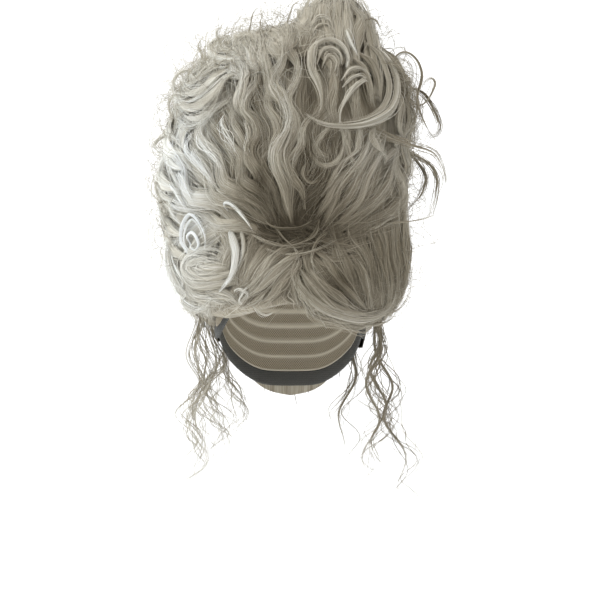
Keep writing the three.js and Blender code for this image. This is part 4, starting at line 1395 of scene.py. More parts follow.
# %% Fringe locks on the right
RIGHT_FRINGE = [
    Lock("middle_0", [(22, -16), (18, -27), (19, -40), (27, -58)], 2, 12, 4, -0.1),
    Lock("middle_1", [(4, -30), (2, -44), (4, -60), (12, -76)], 4, 9, 4, 0.0),
    Lock("middle_2", [(6, -38), (9, -52), (15, -68), (23, -86)], 6, 6, 3, 0.25),
    Lock("right_u_1", [(4, -40), (10, -54), (22, -68), (40, -79), (62, -85), (80, -82), (93, -74),
         (100, -56)], 7, 11, 5, 0.2),
    Lock("right_u_2", [(10, -38), (20, -54), (34, -68), (52, -79), (72, -83), (88, -77)], 6, 10, 5, 0.1),
    Lock("right_u_3", [(16, -34), (28, -50), (44, -64), (58, -75), (74, -80)], 5, 9, 5, 0.05),
    Lock("right_u_4", [(26, -30), (42, -42), (54, -56), (64, -70), (76, -80)], 4, 10, 5, -0.1),
    Lock("right_hem_1", [(12, -70), (26, -84), (46, -91), (64, -93), (80, -86), (96, -78)], 2, 9, 5, -0.05),
    Lock("right_hem_2", [(20, -60), (36, -78), (58, -88), (80, -84), (104, -66)], 1, 14, 5, -0.1),
    # The panel is painted darker, as the shade on the right.
    Lock("panel_1", [(44, 18), (42, -4), (48, -24), (58, -48), (66, -76)], 2, 20, 6, -0.1),
    Lock("panel_2", [(66, 26), (62, 2), (68, -20), (76, -46), (82, -78)], 2, 20, 6, -0.12),
    Lock("panel_3", [(90, 34), (84, 8), (88, -16), (94, -44), (94, -76)], 2, 20, 6, -0.12),
    Lock("panel_4", [(110, 40), (106, 12), (107, -12), (110, -44), (102, -74)], 2, 20, 6, -0.15),
    Lock("panel_7", [(78, 30), (74, 4), (78, -18), (86, -45), (88, -77)], 1, 20, 6, -0.12),
    Lock("panel_8", [(100, 36), (96, 10), (98, -14), (103, -44), (98, -75)], 1, 20, 6, -0.14),
    Lock("panel_6", [(113, 6), (113, -20), (112, -46), (105, -70)], 2, 16, 6, -0.15),
    Lock("panel_5", [(60, -22), (68, -42), (74, -60), (78, -82)], 3, 9, 5, 0.0),
    Lock("panel_fill", [(12, -26), (28, -40), (44, -56), (56, -78)], 0, 20, 6, -0.1),
    Lock("right_run_1", [(24, -14), (42, -13), (62, -6), (84, 4)], 4, 7, 4, -0.1),
    Lock("right_run_3", [(34, -20), (52, -17), (72, -14), (92, -6)], 3, 9, 4, -0.1),
    Lock("right_run_2", [(18, -24), (38, -29), (58, -28), (80, -20)], 4, 6, 4, -0.1),
]
FRINGE_CRIMP = (0, 1.5)
FRINGE_ROOTS = {"sideways": 7, "upwards": 12}
for side, seed, rows in (("left", 67, LEFT_FRINGE), ("right", 71, RIGHT_FRINGE)):
    tress = Tress("fringe_locks_" + side, seed)
    for row in rows:
        points = moved_root(row.points, tress.rng, **FRINGE_ROOTS)
        crimp, phase = tress.rng.uniform(*FRINGE_CRIMP), tress.rng.uniform(0, TURN)
        add_row(tress, row, front_path(points, row.lift, crimp, phase), steps=6, fray=0.12)
    finished(tress.piece(), HAIR, "hair")

# %% [markdown]
# ## Bright curls at the temple
# At the left temple stand the curls that catch the most light, and their pale tones are partly painted
# highlight: a double ring, a bright S-shaped lock and a short one, nearly white. They are crisp, so their
# strands hardly wander and none stray.

# %% Bright curls at the left temple
# Their pale tones are partly painted highlight, where the key light falls on the temple.
CRISP_CURLS = [
    Lock("white_short", [(-58, 20), (-58, 24), (-55, 27), (-50, 26), (-43, 19), (-36, 9), (-30, -1)], 16,
         2.6, 2, 1.0),
    Lock("bright_s", [(-58, 7), (-53, -3), (-50, -12), (-48, -22), (-49, -33), (-52, -44), (-57, -52),
         (-64, -61)], 9, 8, 4, 0.65),
    Lock("bright_s_beside", [(-46, 4), (-42, -10), (-43, -26), (-49, -40)], 7, 4, 3, 0.35),
    Lock("ring_outer", [(-96, -26), (-99, -8), (-98, 4), (-95, 12), (-90, 17), (-84, 12), (-79, 3),
         (-76, -8), (-77, -20)], 10, 3.2, 3, 0.85),
    Lock("ring_outer_2", [(-94, -24), (-97, -8), (-95, 4), (-90, 12), (-85, 8), (-81, 0), (-79, -10)], 9, 2,
         2, 0.6),
    Lock("ring_inner", [(-95, -14), (-94, -5), (-90, -1), (-86, -5), (-83, -13), (-86, -19), (-91, -16),
         (-92, -9)], 9, 2.6, 2, 0.8),
]
CRISP_STRANDS = Strands(4, 2)
CRISP = {"root": 0.6, "tip": 0.3, "wander": 0.03, "fray": 0.06, "fine": (0.16, 0.28), "stray": 0.0}
open_curls = Tress("open_curls", 107)
for row in CRISP_CURLS:
    add_row(open_curls, row, steps=10, strands=strand_count(CRISP_STRANDS, row.width), **CRISP)
print(len(CRISP_CURLS), "bright curls")

# %% [markdown]
# ## Pale wisps on the left
# Thin pale wisps lie across the waves of the left side, with small hooks along the hem and soft curls at
# the lower edge. Their pale tone is painted highlight on the lit waves. You see the locks below through
# them, so they have few strands and hardly a body.

# %% Pale wisps on the left
# Pale tones in this table are painted highlights of the lit left side.
OPEN_CURLS = [
    Lock("pale_1", [(-128, 36), (-122, 15), (-114, -8)], 4, 9, 4, 0.2),
    Lock("pale_2", [(-112, 47), (-105, 42), (-98, 30), (-92, 20)], 11, 5, 3, 0.35),
    Lock("pale_3", [(-103, 60), (-94, 46), (-88, 34), (-83, 26)], 11, 6, 3, 0.35),
    Lock("pale_4", [(-90, 79), (-80, 65), (-72, 52), (-66, 42)], 11, 7, 3, 0.35),
    Lock("pale_5", [(-62, 110), (-56, 98), (-50, 86), (-47, 72)], 12, 6, 3, 0.4),
    Lock("pale_6", [(-110, 28), (-104, 15), (-97, 6)], 11, 5, 3, 0.25),
    Lock("pale_7", [(-118, 80), (-112, 60), (-104, 44), (-96, 34)], 5, 7, 3, 0.1),
    Lock("pale_8", [(-84, 98), (-76, 82), (-64, 68), (-58, 54)], 11, 6, 3, 0.3),
    Lock("pale_9", [(-40, 110), (-36, 96), (-38, 80), (-32, 66)], 12, 5, 3, 0.3),
    Lock("small_hook_1", [(-38, -55), (-42, -63), (-45, -69), (-42, -73)], 8, 4, 3, 0.6),
    Lock("small_hook_2", [(-50, -60), (-44, -58), (-38, -62), (-40, -68)], 7, 3, 3, 0.5),
    Lock("small_hook_3", [(-34, -74), (-27, -80), (-20, -82), (-14, -79)], 5, 2, 2, 0.4),
    Lock("cheek_1", [(-110, -14), (-109, -28), (-104, -40), (-99, -50), (-103, -57)], 7, 4, 3, 0.4),
    Lock("cheek_2", [(-117, -12), (-113, -34), (-106, -50), (-97, -62), (-86, -70)], 6, 8, 4, 0.3),
    Lock("cheek_rim", [(-122, -8), (-118, -36), (-110, -56), (-101, -69), (-88, -76), (-74, -75)], 4, 9, 4,
         0.5),
]
OPEN_STRANDS = Strands(5, 1.1)
OPEN = {"root": 0.7, "fine": (0.18, 0.32), "body": 0.22}
for row in OPEN_CURLS:
    add_row(open_curls, row, steps=10, strands=strand_count(OPEN_STRANDS, row.width), **OPEN)
finished(open_curls.piece(), HAIR, "hair")

# %% [markdown]
# ## The front hem
# Below the fringe short ends cover the cap's edge. They run down the form from just above the hem, drift to
# the nearer side and tuck in at their tips.

# %% Short locks along the front hem
HEM_LOCKS = Values(count=34, turn=82, length=(22, 34), past=(0, 4), lift=(-5, -1), width=(13, 17), height=5)
HEM_DRIFT = Values(away=(4, 14), parting=-8, bend=(-3, 3))
HEM_SINK = Sink(4, 0.6, 0.4)
LIT_SIDE = -30
LIT_TONE, PLAIN_TONE = 0.25, -0.05
hem_locks = Tress("front_hem_locks", 79)
rng = hem_locks.rng
for turn in np.linspace(-HEM_LOCKS.turn, HEM_LOCKS.turn, HEM_LOCKS.count):
    length, past = rng.uniform(*HEM_LOCKS.length), rng.uniform(*HEM_LOCKS.past)
    z = (float(hem_level(turn)) + length * (1 - ALONG) - past * ALONG) * MM
    away = rng.uniform(*HEM_DRIFT.away) * np.sign(turn - HEM_DRIFT.parting)
    drift = away * ALONG + rng.uniform(*HEM_DRIFT.bend) * np.sin(TURN * ALONG)
    lift = (rng.uniform(*HEM_LOCKS.lift) - sunk(HEM_SINK, ALONG)) * MM
    tone = LIT_TONE if turn < LIT_SIDE else PLAIN_TONE
    width = rng.uniform(*HEM_LOCKS.width)
    path = on_form(turn + drift, z, lift)
    add_lock(hem_locks, path, width, HEM_LOCKS.height, tone, strands=11, steps=10, fray=0.2)
print(HEM_LOCKS.count, "locks along the hem")

# %% [markdown]
# ## From the temples down
# Beside the fringe a few straighter locks fall from the temples to the hem. They could be drawn one by one,
# but they are plain and half hidden, so a loop spaces them.

# %% Locks from the temples down
TEMPLES = Values(count=9, from_turn=48, to_turn=86, top=(2, 26), lift=(-5, -2))
TEMPLE_SWAY = Values(size=(2, 4), waves=1)
TEMPLE_SINK = Sink(3, 0.7, 0.3)
# Painted light and shade: temple locks on the lit left are paler, those on the right darker.
TEMPLE_LOCK = Values(width=(15, 19), height=5, tone=-0.1)
for sign in (-1, 1):
    for turn in np.linspace(TEMPLES.from_turn, TEMPLES.to_turn, TEMPLES.count):
        z = (rng.uniform(*TEMPLES.top) * (1 - ALONG) + float(hem_level(turn)) * ALONG) * MM
        drift = wavy(rng, TEMPLE_SWAY)
        lift = (rng.uniform(*TEMPLES.lift) - sunk(TEMPLE_SINK, ALONG)) * MM
        path = on_form(sign * (turn + drift), z, lift)
        width, tone = rng.uniform(*TEMPLE_LOCK.width), TEMPLE_LOCK.tone * sign
        add_lock(hem_locks, path, width, TEMPLE_LOCK.height, tone, strands=10, root=0.2, steps=12)
finished(hem_locks.piece(), HAIR, "hair")

# %% [markdown]
# ## Sides and nape
# At the sides and the nape the hair falls instead of rising. Locks run down from under the upswept ones to
# an uneven edge below the hem, and their tips turn in.

# %% Side and nape locks
NAPE = Values(count=34, from_turn=64, turns=232, past=(4, 22), top=(20, 80), lift=(-6, 1))
NAPE_SWAY = Values(size=(2, 5), waves=1.3)
NAPE_SINK = Sink(5, 0.8, 0.2)
NAPE_LOCK = Values(width=(18, 26), height=(5, 8), tone=-0.05)
nape = Tress("side_and_nape_locks", 73)
rng = nape.rng
for k in range(NAPE.count):
    turn = spaced_turn(rng, k, NAPE)
    low = float(hem_level(turn)) - rng.uniform(*NAPE.past)
    high = rng.uniform(*NAPE.top)
    z = (high + (low - high) * ALONG) * MM
    sway = wavy(rng, NAPE_SWAY)
    lift = (rng.uniform(*NAPE.lift) - sunk(NAPE_SINK, ALONG)) * MM
    width, height = rng.uniform(*NAPE_LOCK.width), rng.uniform(*NAPE_LOCK.height)
    path = on_form(turn + sway, z, lift)
    add_lock(nape, path, width, height, NAPE_LOCK.tone, strands=11, root=0.15, steps=12)
finished(nape.piece(), HAIR, "hair")

# %% [markdown]
# ## Tendrils
# Eight thin locks hang free at the sides. Each follows the same wavy line as its solid, and its strands
# part from each other as they fall, some with small waves of their own. Those on the right keep a thin lock
# in their middle, because they hang closer together there.

# %% Tendrils
Tendril = namedtuple("Tendril", "name x y z to_x to_z wave phase thick")
TENDRILS = [
    Tendril("left_tendril_1", -91, 6, -70, -98, -268, 7, 20, 9),
    Tendril("left_tendril_2", -88, 27, -72, -88, -232, 8, 110, 10),
    Tendril("left_tendril_3", -82, 47, -88, -72, -230, 8, 230, 10),
    Tendril("left_tendril_4", -71, 66, -98, -52, -212, 6, 60, 8),
    Tendril("right_tendril_1", 90, 6, -70, 80, -250, 8, 200, 11),
    Tendril("right_tendril_2", 89, 28, -72, 91, -240, 8, 275, 10),
    Tendril("right_tendril_3", 84, 47, -86, 121, -280, 8, 90, 10),
    Tendril("right_tendril_4", 71, 66, -98, 50, -226, 6, 180, 8),
]
TENDRIL = Values(wavelength=72, lean=12, depth=0.6, start=2.5, root=8, steps=33, together=3)
VEIL_WISP = Values(reach=(0.72, 1.16), length=(45, 90), late=0.7, bend=(0.25, 0.9), apart=0.5, tone=0.12)
VEIL_STRAND = Values(reach=(0.9, 1), apart=0.7, radius=(0.14, 0.26), tone=0.08)
CURL = Values(tightening=0.35, start=1.6)
PARTING = Values(root=0.4, tip=1.5)
THIN = Values(share=0.5, start=0.6, fade=0.4)
Veil = namedtuple("Veil", "side seed wisps tone")
# The right tendrils and the thin lock in their middle are painted darker, as the shade on that side.
VEILS = [Veil("left", 83, 15, -0.05), Veil("right", 89, 8, -0.35)]
HEART = {"width": 2.8, "height": 1.8, "tone": -0.3, "strands": 6, "tip": 0.25, "wander": 0.04, "steps": 26,
         "stray": 0, "up": (0, -1, 0)}


def tendril_line(row, t, late=0.0):
    """Places in mm on the wavy line that the solid of a tendril follows, with its waves a little late."""
    length = row.z - row.to_z
    angle = TURN * length / TENDRIL.wavelength * t + np.radians(row.phase) + late * t
    sway = row.wave * np.minimum(1, TENDRIL.start * t)
    x = row.x + (row.to_x - row.x) * t + sway * np.sin(angle)
    y = row.y - TENDRIL.lean * t + TENDRIL.depth * sway * np.cos(angle)
    return x, y, row.z + TENDRIL.root * (1 - t) - length * t


def add_tendril(tress, row, wisps, tone):
    """Wisps round the wavy line of a tendril, each with a curl of its own and a few strands."""
    rng = tress.rng
    each = (wisps, 1)
    reach = rng.uniform(*VEIL_WISP.reach, each)
    turn, start = rng.uniform(*VEIL_WISP.length, each), rng.uniform(0, TURN, each)
    late, bend = rng.normal(0, VEIL_WISP.late, each), rng.uniform(*VEIL_WISP.bend, each)
    apart = rng.normal(0, VEIL_WISP.apart, (wisps, 2)) * row.thick
    shade = rng.normal(tone, VEIL_WISP.tone, each)
    for _ in range(TENDRIL.together):
        t = np.linspace(0, 1, TENDRIL.steps + 1)[None] * reach * rng.uniform(*VEIL_STRAND.reach, each)
        x, y, z = tendril_line(row, t, late)
        own = TURN * (row.z - row.to_z) / turn * t * (1 + CURL.tightening * t) + start
        curl = bend * row.thick * smoothstep(t * CURL.start)
        loose = rng.normal(0, VEIL_STRAND.apart, (wisps, 2)) * (PARTING.root + PARTING.tip * t.max())
        x = x + curl * np.sin(own) + apart[:, :1] * (PARTING.root + t) + loose[:, :1] * t
        y = y + curl * np.cos(own) + apart[:, 1:] * (PARTING.root + t) + loose[:, 1:] * t
        thin = 1 - THIN.share * smoothstep((t / reach - THIN.start) / THIN.fade)
        radii = rng.uniform(*VEIL_STRAND.radius, each) * thin
        tones = shade + rng.normal(0, VEIL_STRAND.tone, each) + np.zeros_like(t)
        tress.add(np.stack([x, y, z], -1) * MM, radii * MM, tones)


for veil in VEILS:
    tress = Tress(veil.side + "_tendrils", veil.seed)
    rows = [row for row in TENDRILS if row.name.startswith(veil.side)]
    for row in rows:
        add_tendril(tress, row, veil.wisps, veil.tone)
        if veil.side == "right":
            add_lock(tress, np.stack(tendril_line(row, ALONG), -1) * MM, **HEART)
    finished(tress.piece(), HAIR, "hair", *[row.name for row in rows])

# %% [markdown]
# ## Loose strands
# No lock keeps all its hairs. Single strands follow the fan a little above the locks, leave it sideways and
# come back, and break up the light on them. They are separate tubes, since a lock would hold them together.

# %% Loose strands over the front
LOOSE = Values(count=300, steps=16, lift=(1, 9), start=(0, 0.4), end=(0.6, 1), thin=0.4, tone=(0.15, 0.15))
LOOSE_WAVE = Values(turns=(0.5, 2), drift=7, size=(2, 6), rise=(1, 4))
STRAND_RADIUS = (0.12, 0.22)
loose = Tress("loose_strands", 101)
rng = loose.rng
for _ in range(LOOSE.count):
    path = fan_path(rng, rng.uniform(FAN[0].at, FAN[-1].at), rng.uniform(*LOOSE.lift))
    t = np.linspace(rng.uniform(*LOOSE.start), rng.uniform(*LOOSE.end), LOOSE.steps + 1)[None]
    turn = TURN * rng.uniform(*LOOSE_WAVE.turns) * t + rng.uniform(0, TURN)
    beside = unit(np.cross(np.gradient(path, axis=0), outward(path)))
    drift = rng.normal(0, LOOSE_WAVE.drift)
    aside = drift * t + rng.uniform(*LOOSE_WAVE.size) * np.sin(turn)
    over = rng.uniform(*LOOSE_WAVE.rise) * (1 + np.cos(turn))
    points = laid(Course(path, beside, outward(path)), t, aside, over)
    radii = rng.uniform(*STRAND_RADIUS) * MM * (1 - LOOSE.thin * t)
    loose.add(points, radii, np.full_like(radii, rng.normal(*LOOSE.tone)))
finished(loose.piece(), HAIR, "hair")

# %% [markdown]
# ## Frizz and flyaways
# Brushed-out curls leave a haze of single hairs round the outline. Each is a loose coil that starts in the
# pile and drifts away from it. They are thin and single, and most of them sit on the left. Hair particles
# would scatter in the same way, but the arrays let every region have its own reach and coil.

# %% Frizz and ringlets
Frizz = namedtuple("Frizz", "name from_turn to_turn from_z to_z count together coil reach tone")
# The frizz on the right is painted darker, as the shade on that side.
FRIZZ = [
    Frizz("left_haze", -106, -62, -30, 150, 230, 1, 8, 36, -0.05),
    Frizz("upper_left_haze", -110, -20, 130, 205, 300, 1, 7, 32, 0.05),
    Frizz("peak_haze", -180, 180, 200, 224, 120, 1, 7, 24, -0.15),
    Frizz("right_haze", 62, 104, -70, 190, 180, 1, 9, 34, -0.2),
    Frizz("back_haze", 110, 250, -100, 190, 50, 1, 6, 10, 0.0),
    Frizz("left_ringlets", -100, -62, 0, 150, 24, 4, 5, 14, -0.05),
    Frizz("upper_left_ringlets", -84, -8, 120, 203, 125, 2, 4, 9, 0.05),
    Frizz("right_ringlets", 66, 104, 20, 190, 16, 3, 7, 18, -0.35),
]
FRIZZ_STEPS = 11
FRIZZ_ROOT = -3
FRIZZ_RADIUS = (0.16, 0.26)
FRIZZ_APART = Values(size=0.6, root=0.5)
FRIZZ_LENGTH = 48
FRIZZ_COIL = Values(length=(0.4, 1.4), turns=(0.4, 1.3), size=(0.5, 1.4), start=3, upwards=0.2)
FRIZZ_RISE = Values(share=(0.1, 1), power=1.3, arch=0.6)
FRIZZ_THIN, FRIZZ_TONE = 0.3, 0.15
FRIZZ_FROM = -118 * MM
FRIZZ_ROOM = 36 * MM


def frizz_points(rng, row):
    """Loose coils that start in the pile at random places and drift along it and away from it."""
    turn = rng.uniform(row.from_turn, row.to_turn, row.count)
    z = rng.uniform(row.from_z, row.to_z, row.count) * MM
    start = on_form(turn, z, FRIZZ_ROOT * MM * np.ones(row.count))
    away = outward(start)
    beside = unit(np.cross(away, [0, 0, 1.0]))
    upright = np.cross(beside, away)
    drift = rng.normal(0, 1, (row.count, 1)) * beside
    drift = unit(drift + rng.normal(FRIZZ_COIL.upwards, 1, (row.count, 1)) * upright)
    each = (row.count, 1, 1)
    t = np.linspace(0, 1, FRIZZ_STEPS + 1)[None, :, None]
    length = rng.uniform(*FRIZZ_COIL.length, each) * FRIZZ_LENGTH * MM
    coils = rng.uniform(*FRIZZ_COIL.turns, each) * math.sqrt(row.together)
    angle = TURN * coils * t + rng.uniform(0, TURN, each)
    coil = rng.uniform(*FRIZZ_COIL.size, each) * row.coil * MM * np.minimum(1, FRIZZ_COIL.start * t)
    rise = rng.uniform(*FRIZZ_RISE.share, each) ** FRIZZ_RISE.power * row.reach * MM
    rise = rise * np.sin(np.pi * FRIZZ_RISE.arch * t)
    points = start[:, None] + drift[:, None] * length * t + away[:, None] * (rise + coil * np.sin(angle))
    return points + np.cross(drift, away)[:, None] * coil * np.cos(angle)


frizz = Tress("frizz", 97)
rng = frizz.rng
share = np.linspace(0, 1, FRIZZ_STEPS + 1)[None]
for row in FRIZZ:
    points = frizz_points(rng, row)
    beyond = np.maximum(0, FRIZZ_FROM - points[..., 0])
    points[..., 0] += beyond - FRIZZ_ROOM * np.tanh(beyond / FRIZZ_ROOM)
    # Flyaways stand clear of the pile, so the painted light and shade that the tress adds is taken off
    # again.
    clear = -painted_light_and_shade(points)
    spread = FRIZZ_APART.size if row.together > 1 else 0
    for _ in range(row.together):
        radii = rng.uniform(*FRIZZ_RADIUS, (row.count, 1)) * MM * (1 - FRIZZ_THIN * share)
        apart = rng.normal(0, spread, (row.count, 1, 3)) * MM * (FRIZZ_APART.root + share[..., None])
        tone = rng.normal(row.tone, FRIZZ_TONE, (row.count, 1)) * np.ones_like(radii)
        frizz.add(points + apart, radii, tone + clear)
finished(frizz.piece(), HAIR, "hair")

# %% [markdown]
# ## Wisps over the middle and under the fringe
# A few bright wisps cross the gathered middle, and others hang below the fringe, where they soften its
# edge. Single strays at all slopes lie over both. They are the last hair to be made, because they lie on
# top.

# %% Wisps of the fringe
Wisp = namedtuple("Wisp", "points strands tone")
MIDDLE_WISPS = [
    Wisp([(-38, -2), (-18, -12), (6, -15), (34, -8)], 5, 0.35),
    Wisp([(-30, -14), (-8, -23), (18, -22), (44, -12)], 5, 0.25),
    Wisp([(-16, 8), (-6, -6), (6, -20), (10, -36)], 4, 0.3),
    Wisp([(28, 10), (22, -4), (8, -14), (-12, -22)], 5, 0.3),
    Wisp([(40, 2), (26, -10), (20, -26), (24, -44)], 4, 0.25),
    Wisp([(-26, 12), (-12, 2), (8, 2), (24, 10)], 4, 0.2),
]
# Wisps on the lit left are painted paler and those on the right darker.
WISPS = [
    Wisp([(6, -50), (12, -66), (20, -86)], 6, 0.4),
    Wisp([(2, -52), (5, -64), (10, -78)], 5, 0.2),
    Wisp([(14, -56), (24, -74), (36, -94)], 6, 0.2),
    Wisp([(30, -66), (46, -86), (66, -98), (84, -92)], 6, 0.0),
    Wisp([(48, -76), (68, -90), (92, -88), (106, -74)], 6, 0.0),
    Wisp([(-8, -54), (-16, -68), (-28, -78)], 5, 0.1),
    Wisp([(-20, -56), (-30, -70), (-44, -76), (-52, -70)], 5, 0.2),
    Wisp([(-36, -58), (-46, -72), (-62, -80)], 5, 0.3),
    Wisp([(-70, -62), (-80, -76), (-96, -80)], 6, 0.4),
    Wisp([(-96, -58), (-102, -72), (-92, -84)], 6, 0.4),
    Wisp([(84, -74), (98, -80), (112, -66), (116, -44)], 6, -0.1),
    Wisp([(100, -60), (112, -52), (118, -34)], 5, -0.1),
]
MIDDLE_LIFT, FRINGE_LIFT = 8, 5
STRAYS = Arc(14, 34, -32, 20, 0.8, (14, 34), (-14, 6), (3, 7))
STRAY_COUNT = 110
STRAY_STEPS = 16
STRAY_TONE = (0.25, 0.2)
WISP_STYLE = {"width": 4, "height": 2, "fray": 0.5, "steps": 14, "body": 0.3}
wisps = Tress("fringe_wisps", 103)
rng = wisps.rng
for rows, lift in ((MIDDLE_WISPS, MIDDLE_LIFT), (WISPS, FRINGE_LIFT)):
    for row in rows:
        path = front_path(row.points, lift)
        add_lock(wisps, path, tone=row.tone, strands=row.strands, **WISP_STYLE)
for _ in range(STRAY_COUNT):
    path = crossing_path(rng, STRAYS)
    points = sample(path, np.linspace(0, 1, STRAY_STEPS + 1)[None])
    radii = np.full((1, STRAY_STEPS + 1), rng.uniform(*STRAND_RADIUS) * MM)
    wisps.add(points, radii, np.full_like(radii, rng.normal(*STRAY_TONE)))
finished(wisps.piece(), HAIR, "hair")

# %% [markdown]
# ## Net and elastic
# Inside the hair is a stretch net, and a dark woven elastic closes its edge. Modelled threads would cost
# more than all the hair. So both share one weave pattern, a node group that draws crossing threads from the
# same across and along values that the hair uses, and a bump lifts the threads.

# %% Weave node group
THREAD_EDGE = (0.2, 0.5)
WEAVE_SOCKETS = [
    ("Across Size", "INPUT", "Float"),
    ("Along Size", "INPUT", "Float"),
    ("Threads", "OUTPUT", "Float"),
    ("Tape", "OUTPUT", "Float"),
]


def weave_group():
    group, inputs, outputs = new_group("weave", WEAVE_SOCKETS)
    parts = fibre_parts(group)
    across = math_node(group, "DIVIDE", parts["X"], inputs["Across Size"])
    along = math_node(group, "DIVIDE", parts["Y"], inputs["Along Size"])
    lines = []
    for operation in ("ADD", "SUBTRACT"):
        slanted = math_node(group, "MULTIPLY", math_node(group, operation, across, along), math.pi)
        lines.append(math_node(group, "ABSOLUTE", math_node(group, "SINE", slanted, 0), 0))
    nearest = math_node(group, "MINIMUM", *lines)
    group.links.new(range_node(group, nearest, *THREAD_EDGE, 1, 0), outputs["Threads"])
    group.links.new(parts["Z"], outputs["Tape"])
    return group


WEAVE = weave_group()
print("node group", WEAVE.name, "has", len(WEAVE.nodes), "nodes")

# %% [markdown]
# ## Cloth materials
# The colour starts as the dark gap between the threads. The threads are mixed over it, then the sewn tapes,
# which the mesh marks in its third fibre value.

# %% Cloth materials
Cloth = namedtuple("Cloth", "name across along thread hole tape")
NET = Cloth("cap_net", 0.0026, 0.0026, (0.47, 0.41, 0.31, 1), (0.2, 0.17, 0.12, 1), (0.62, 0.57, 0.46, 1))
ELASTIC = Cloth("elastic", 0.0012, 0.004, (0.13, 0.13, 0.12, 1), (0.045, 0.045, 0.042, 1),
                (0.2, 0.2, 0.19, 1))
CLOTH_ROUGHNESS = 0.85
CLOTH_BUMP = 0.6
CLOTH_RELIEF = 0.0005


def cloth_material(cloth):
    values = {"Across Size": cloth.across, "Along Size": cloth.along}
    material, made = grouped_material(cloth.name, WEAVE, values)
    nodes, link = material.node_tree.nodes, material.node_tree.links.new
    shader = nodes["Principled BSDF"]
    threads, tapes = nodes.new("ShaderNodeMix"), nodes.new("ShaderNodeMix")
    for mix, mask, color in ((threads, "Threads", cloth.thread), (tapes, "Tape", cloth.tape)):
        mix.data_type = "RGBA"
        link(made[mask], mix.inputs["Factor"])
        mix.inputs["B"].default_value = color
    threads.inputs["A"].default_value = cloth.hole
    link(threads.outputs["Result"], tapes.inputs["A"])
    link(tapes.outputs["Result"], shader.inputs["Base Color"])
    add_relief(material, made["Threads"], CLOTH_BUMP, CLOTH_RELIEF)
    shader.inputs["Roughness"].default_value = CLOTH_ROUGHNESS
    return material


CAP_CLOTH = cloth_material(NET)
BAND_CLOTH = cloth_material(ELASTIC)
print("materials:", CAP_CLOTH.name, BAND_CLOTH.name)

# %% [markdown]
# ## The cap
# The hair is sewn to thin tapes, called weft, and the tapes are sewn round the net in rows. The cap is a
# closed shell. Its inner rings rise a little at each row of weft, so the rows catch the light when you look
# in from below.

# %% Net cap with rows of weft
Rim = namedtuple("Rim", "turn tilt")
RIM = [Rim(0, 62), Rim(40, 66), Rim(72, 87), Rim(98, 82), Rim(125, 100), Rim(152, 112), Rim(180, 114)]
CAP_WALL = 1.6
CAP_SLICES = 90
CAP_RINGS = Values(inner=79, outer=10, first=0.02)
CAP_RADII = Values(across=0.085, along=0.1)
BAND_SHARE = 0.07
WEFT = Values(rows=13, rise=0.7, level=0.55, fade=0.4)
cap_turns = np.arange(CAP_SLICES) * 360 / CAP_SLICES
rim_tilt = column(RIM, "turn", "tilt", folded(cap_turns))


def cap_ring(share, grow, tape):
    """Corners of one ring of the cap and their place across, along and on the tape."""
    corners = on_cap(cap_turns, rim_tilt * share, grow)
    across = np.radians(cap_turns) * CAP_RADII.across
    along = np.radians(rim_tilt) * share * CAP_RADII.along
    return corners, np.stack([across, along, np.full(CAP_SLICES, tape)], -1)


rings = []
for share in np.linspace(CAP_RINGS.first, 1, CAP_RINGS.inner):
    tape = float(smoothstep((np.cos(TURN * share * WEFT.rows) - WEFT.level) / WEFT.fade))
    rings.append(cap_ring(share * (1 - BAND_SHARE), -WEFT.rise * tape, tape))
for share in np.linspace(1, CAP_RINGS.first, CAP_RINGS.outer):
    rings.append(cap_ring(share * (1 - BAND_SHARE), CAP_WALL, 0))
poles = np.array([(0, 0, 0), (0, 0, CAP_WALL)]) * MM
corners = np.concatenate([ring[0] for ring in rings] + [poles])
fibre = np.concatenate([ring[1] for ring in rings] + [np.zeros((2, 3))])
quads = ring_quads(len(rings), CAP_SLICES, False)
net_cap = mesh_from_arrays("net_cap", corners, quads, pole_fans(len(rings), CAP_SLICES), fibre)
finished(net_cap, CAP_CLOTH, "cap_net", "cap")

# %% [markdown]
# ## The elastic edge
# The elastic is a soft band a little thicker than the net. Its cross-section is a short list of edges,
# rounded at both rims, which is carried round the cap.

# %% Elastic edge
Edge = namedtuple("Edge", "share grow")
BAND_EDGE = [Edge(0.004, -0.5), Edge(0.1, -0.8), Edge(0.5, -0.95), Edge(0.9, -0.8), Edge(1, -0.4),
             Edge(1, 1.2), Edge(0.9, 1.6), Edge(0.5, 1.75), Edge(0.1, 1.6), Edge(0.004, 1.3)]
rings = [cap_ring(1 - BAND_SHARE + BAND_SHARE * edge.share, edge.grow, 0) for edge in BAND_EDGE]
corners, fibre = (np.concatenate([ring[k] for ring in rings]) for k in (0, 1))
band = mesh_from_arrays("elastic_edge", corners, ring_quads(len(rings), CAP_SLICES, True), NO_ENDS, fibre)
finished(band, BAND_CLOTH, "elastic", "edge_band")

# %% [markdown]
# ## Camera
# The picture is taken straight from the front, about level with the fringe, from far enough that the
# outline hardly spreads. The lens follows from the width of the view and the distance.

# %% Camera
VIEW_CENTRE = Values(x=10 * MM, z=-68 * MM)
VIEW_WIDTH = 0.6
VIEW_PLANE = -0.05
VIEW_DISTANCE = 2.8
VIEW_END = 50
scene = bpy.context.scene
camera = bpy.data.objects.new("camera", bpy.data.cameras.new("camera"))
scene.collection.objects.link(camera)
camera.location = (VIEW_CENTRE.x, VIEW_PLANE - VIEW_DISTANCE, VIEW_CENTRE.z)
camera.rotation_euler = (math.pi / 2, 0, 0)
camera.data.lens = camera.data.sensor_width * VIEW_DISTANCE / VIEW_WIDTH
camera.data.clip_end = VIEW_END
scene.camera = camera
print("the lens is", round(camera.data.lens, 1), "mm")

# %% [markdown]
# ## Floor
# A sheet of pale paper lies under the wig and sweeps up far behind it, as in a photo studio. One curved
# mesh has no corner that could show. The sweep starts well back, so the camera can also go behind the wig.

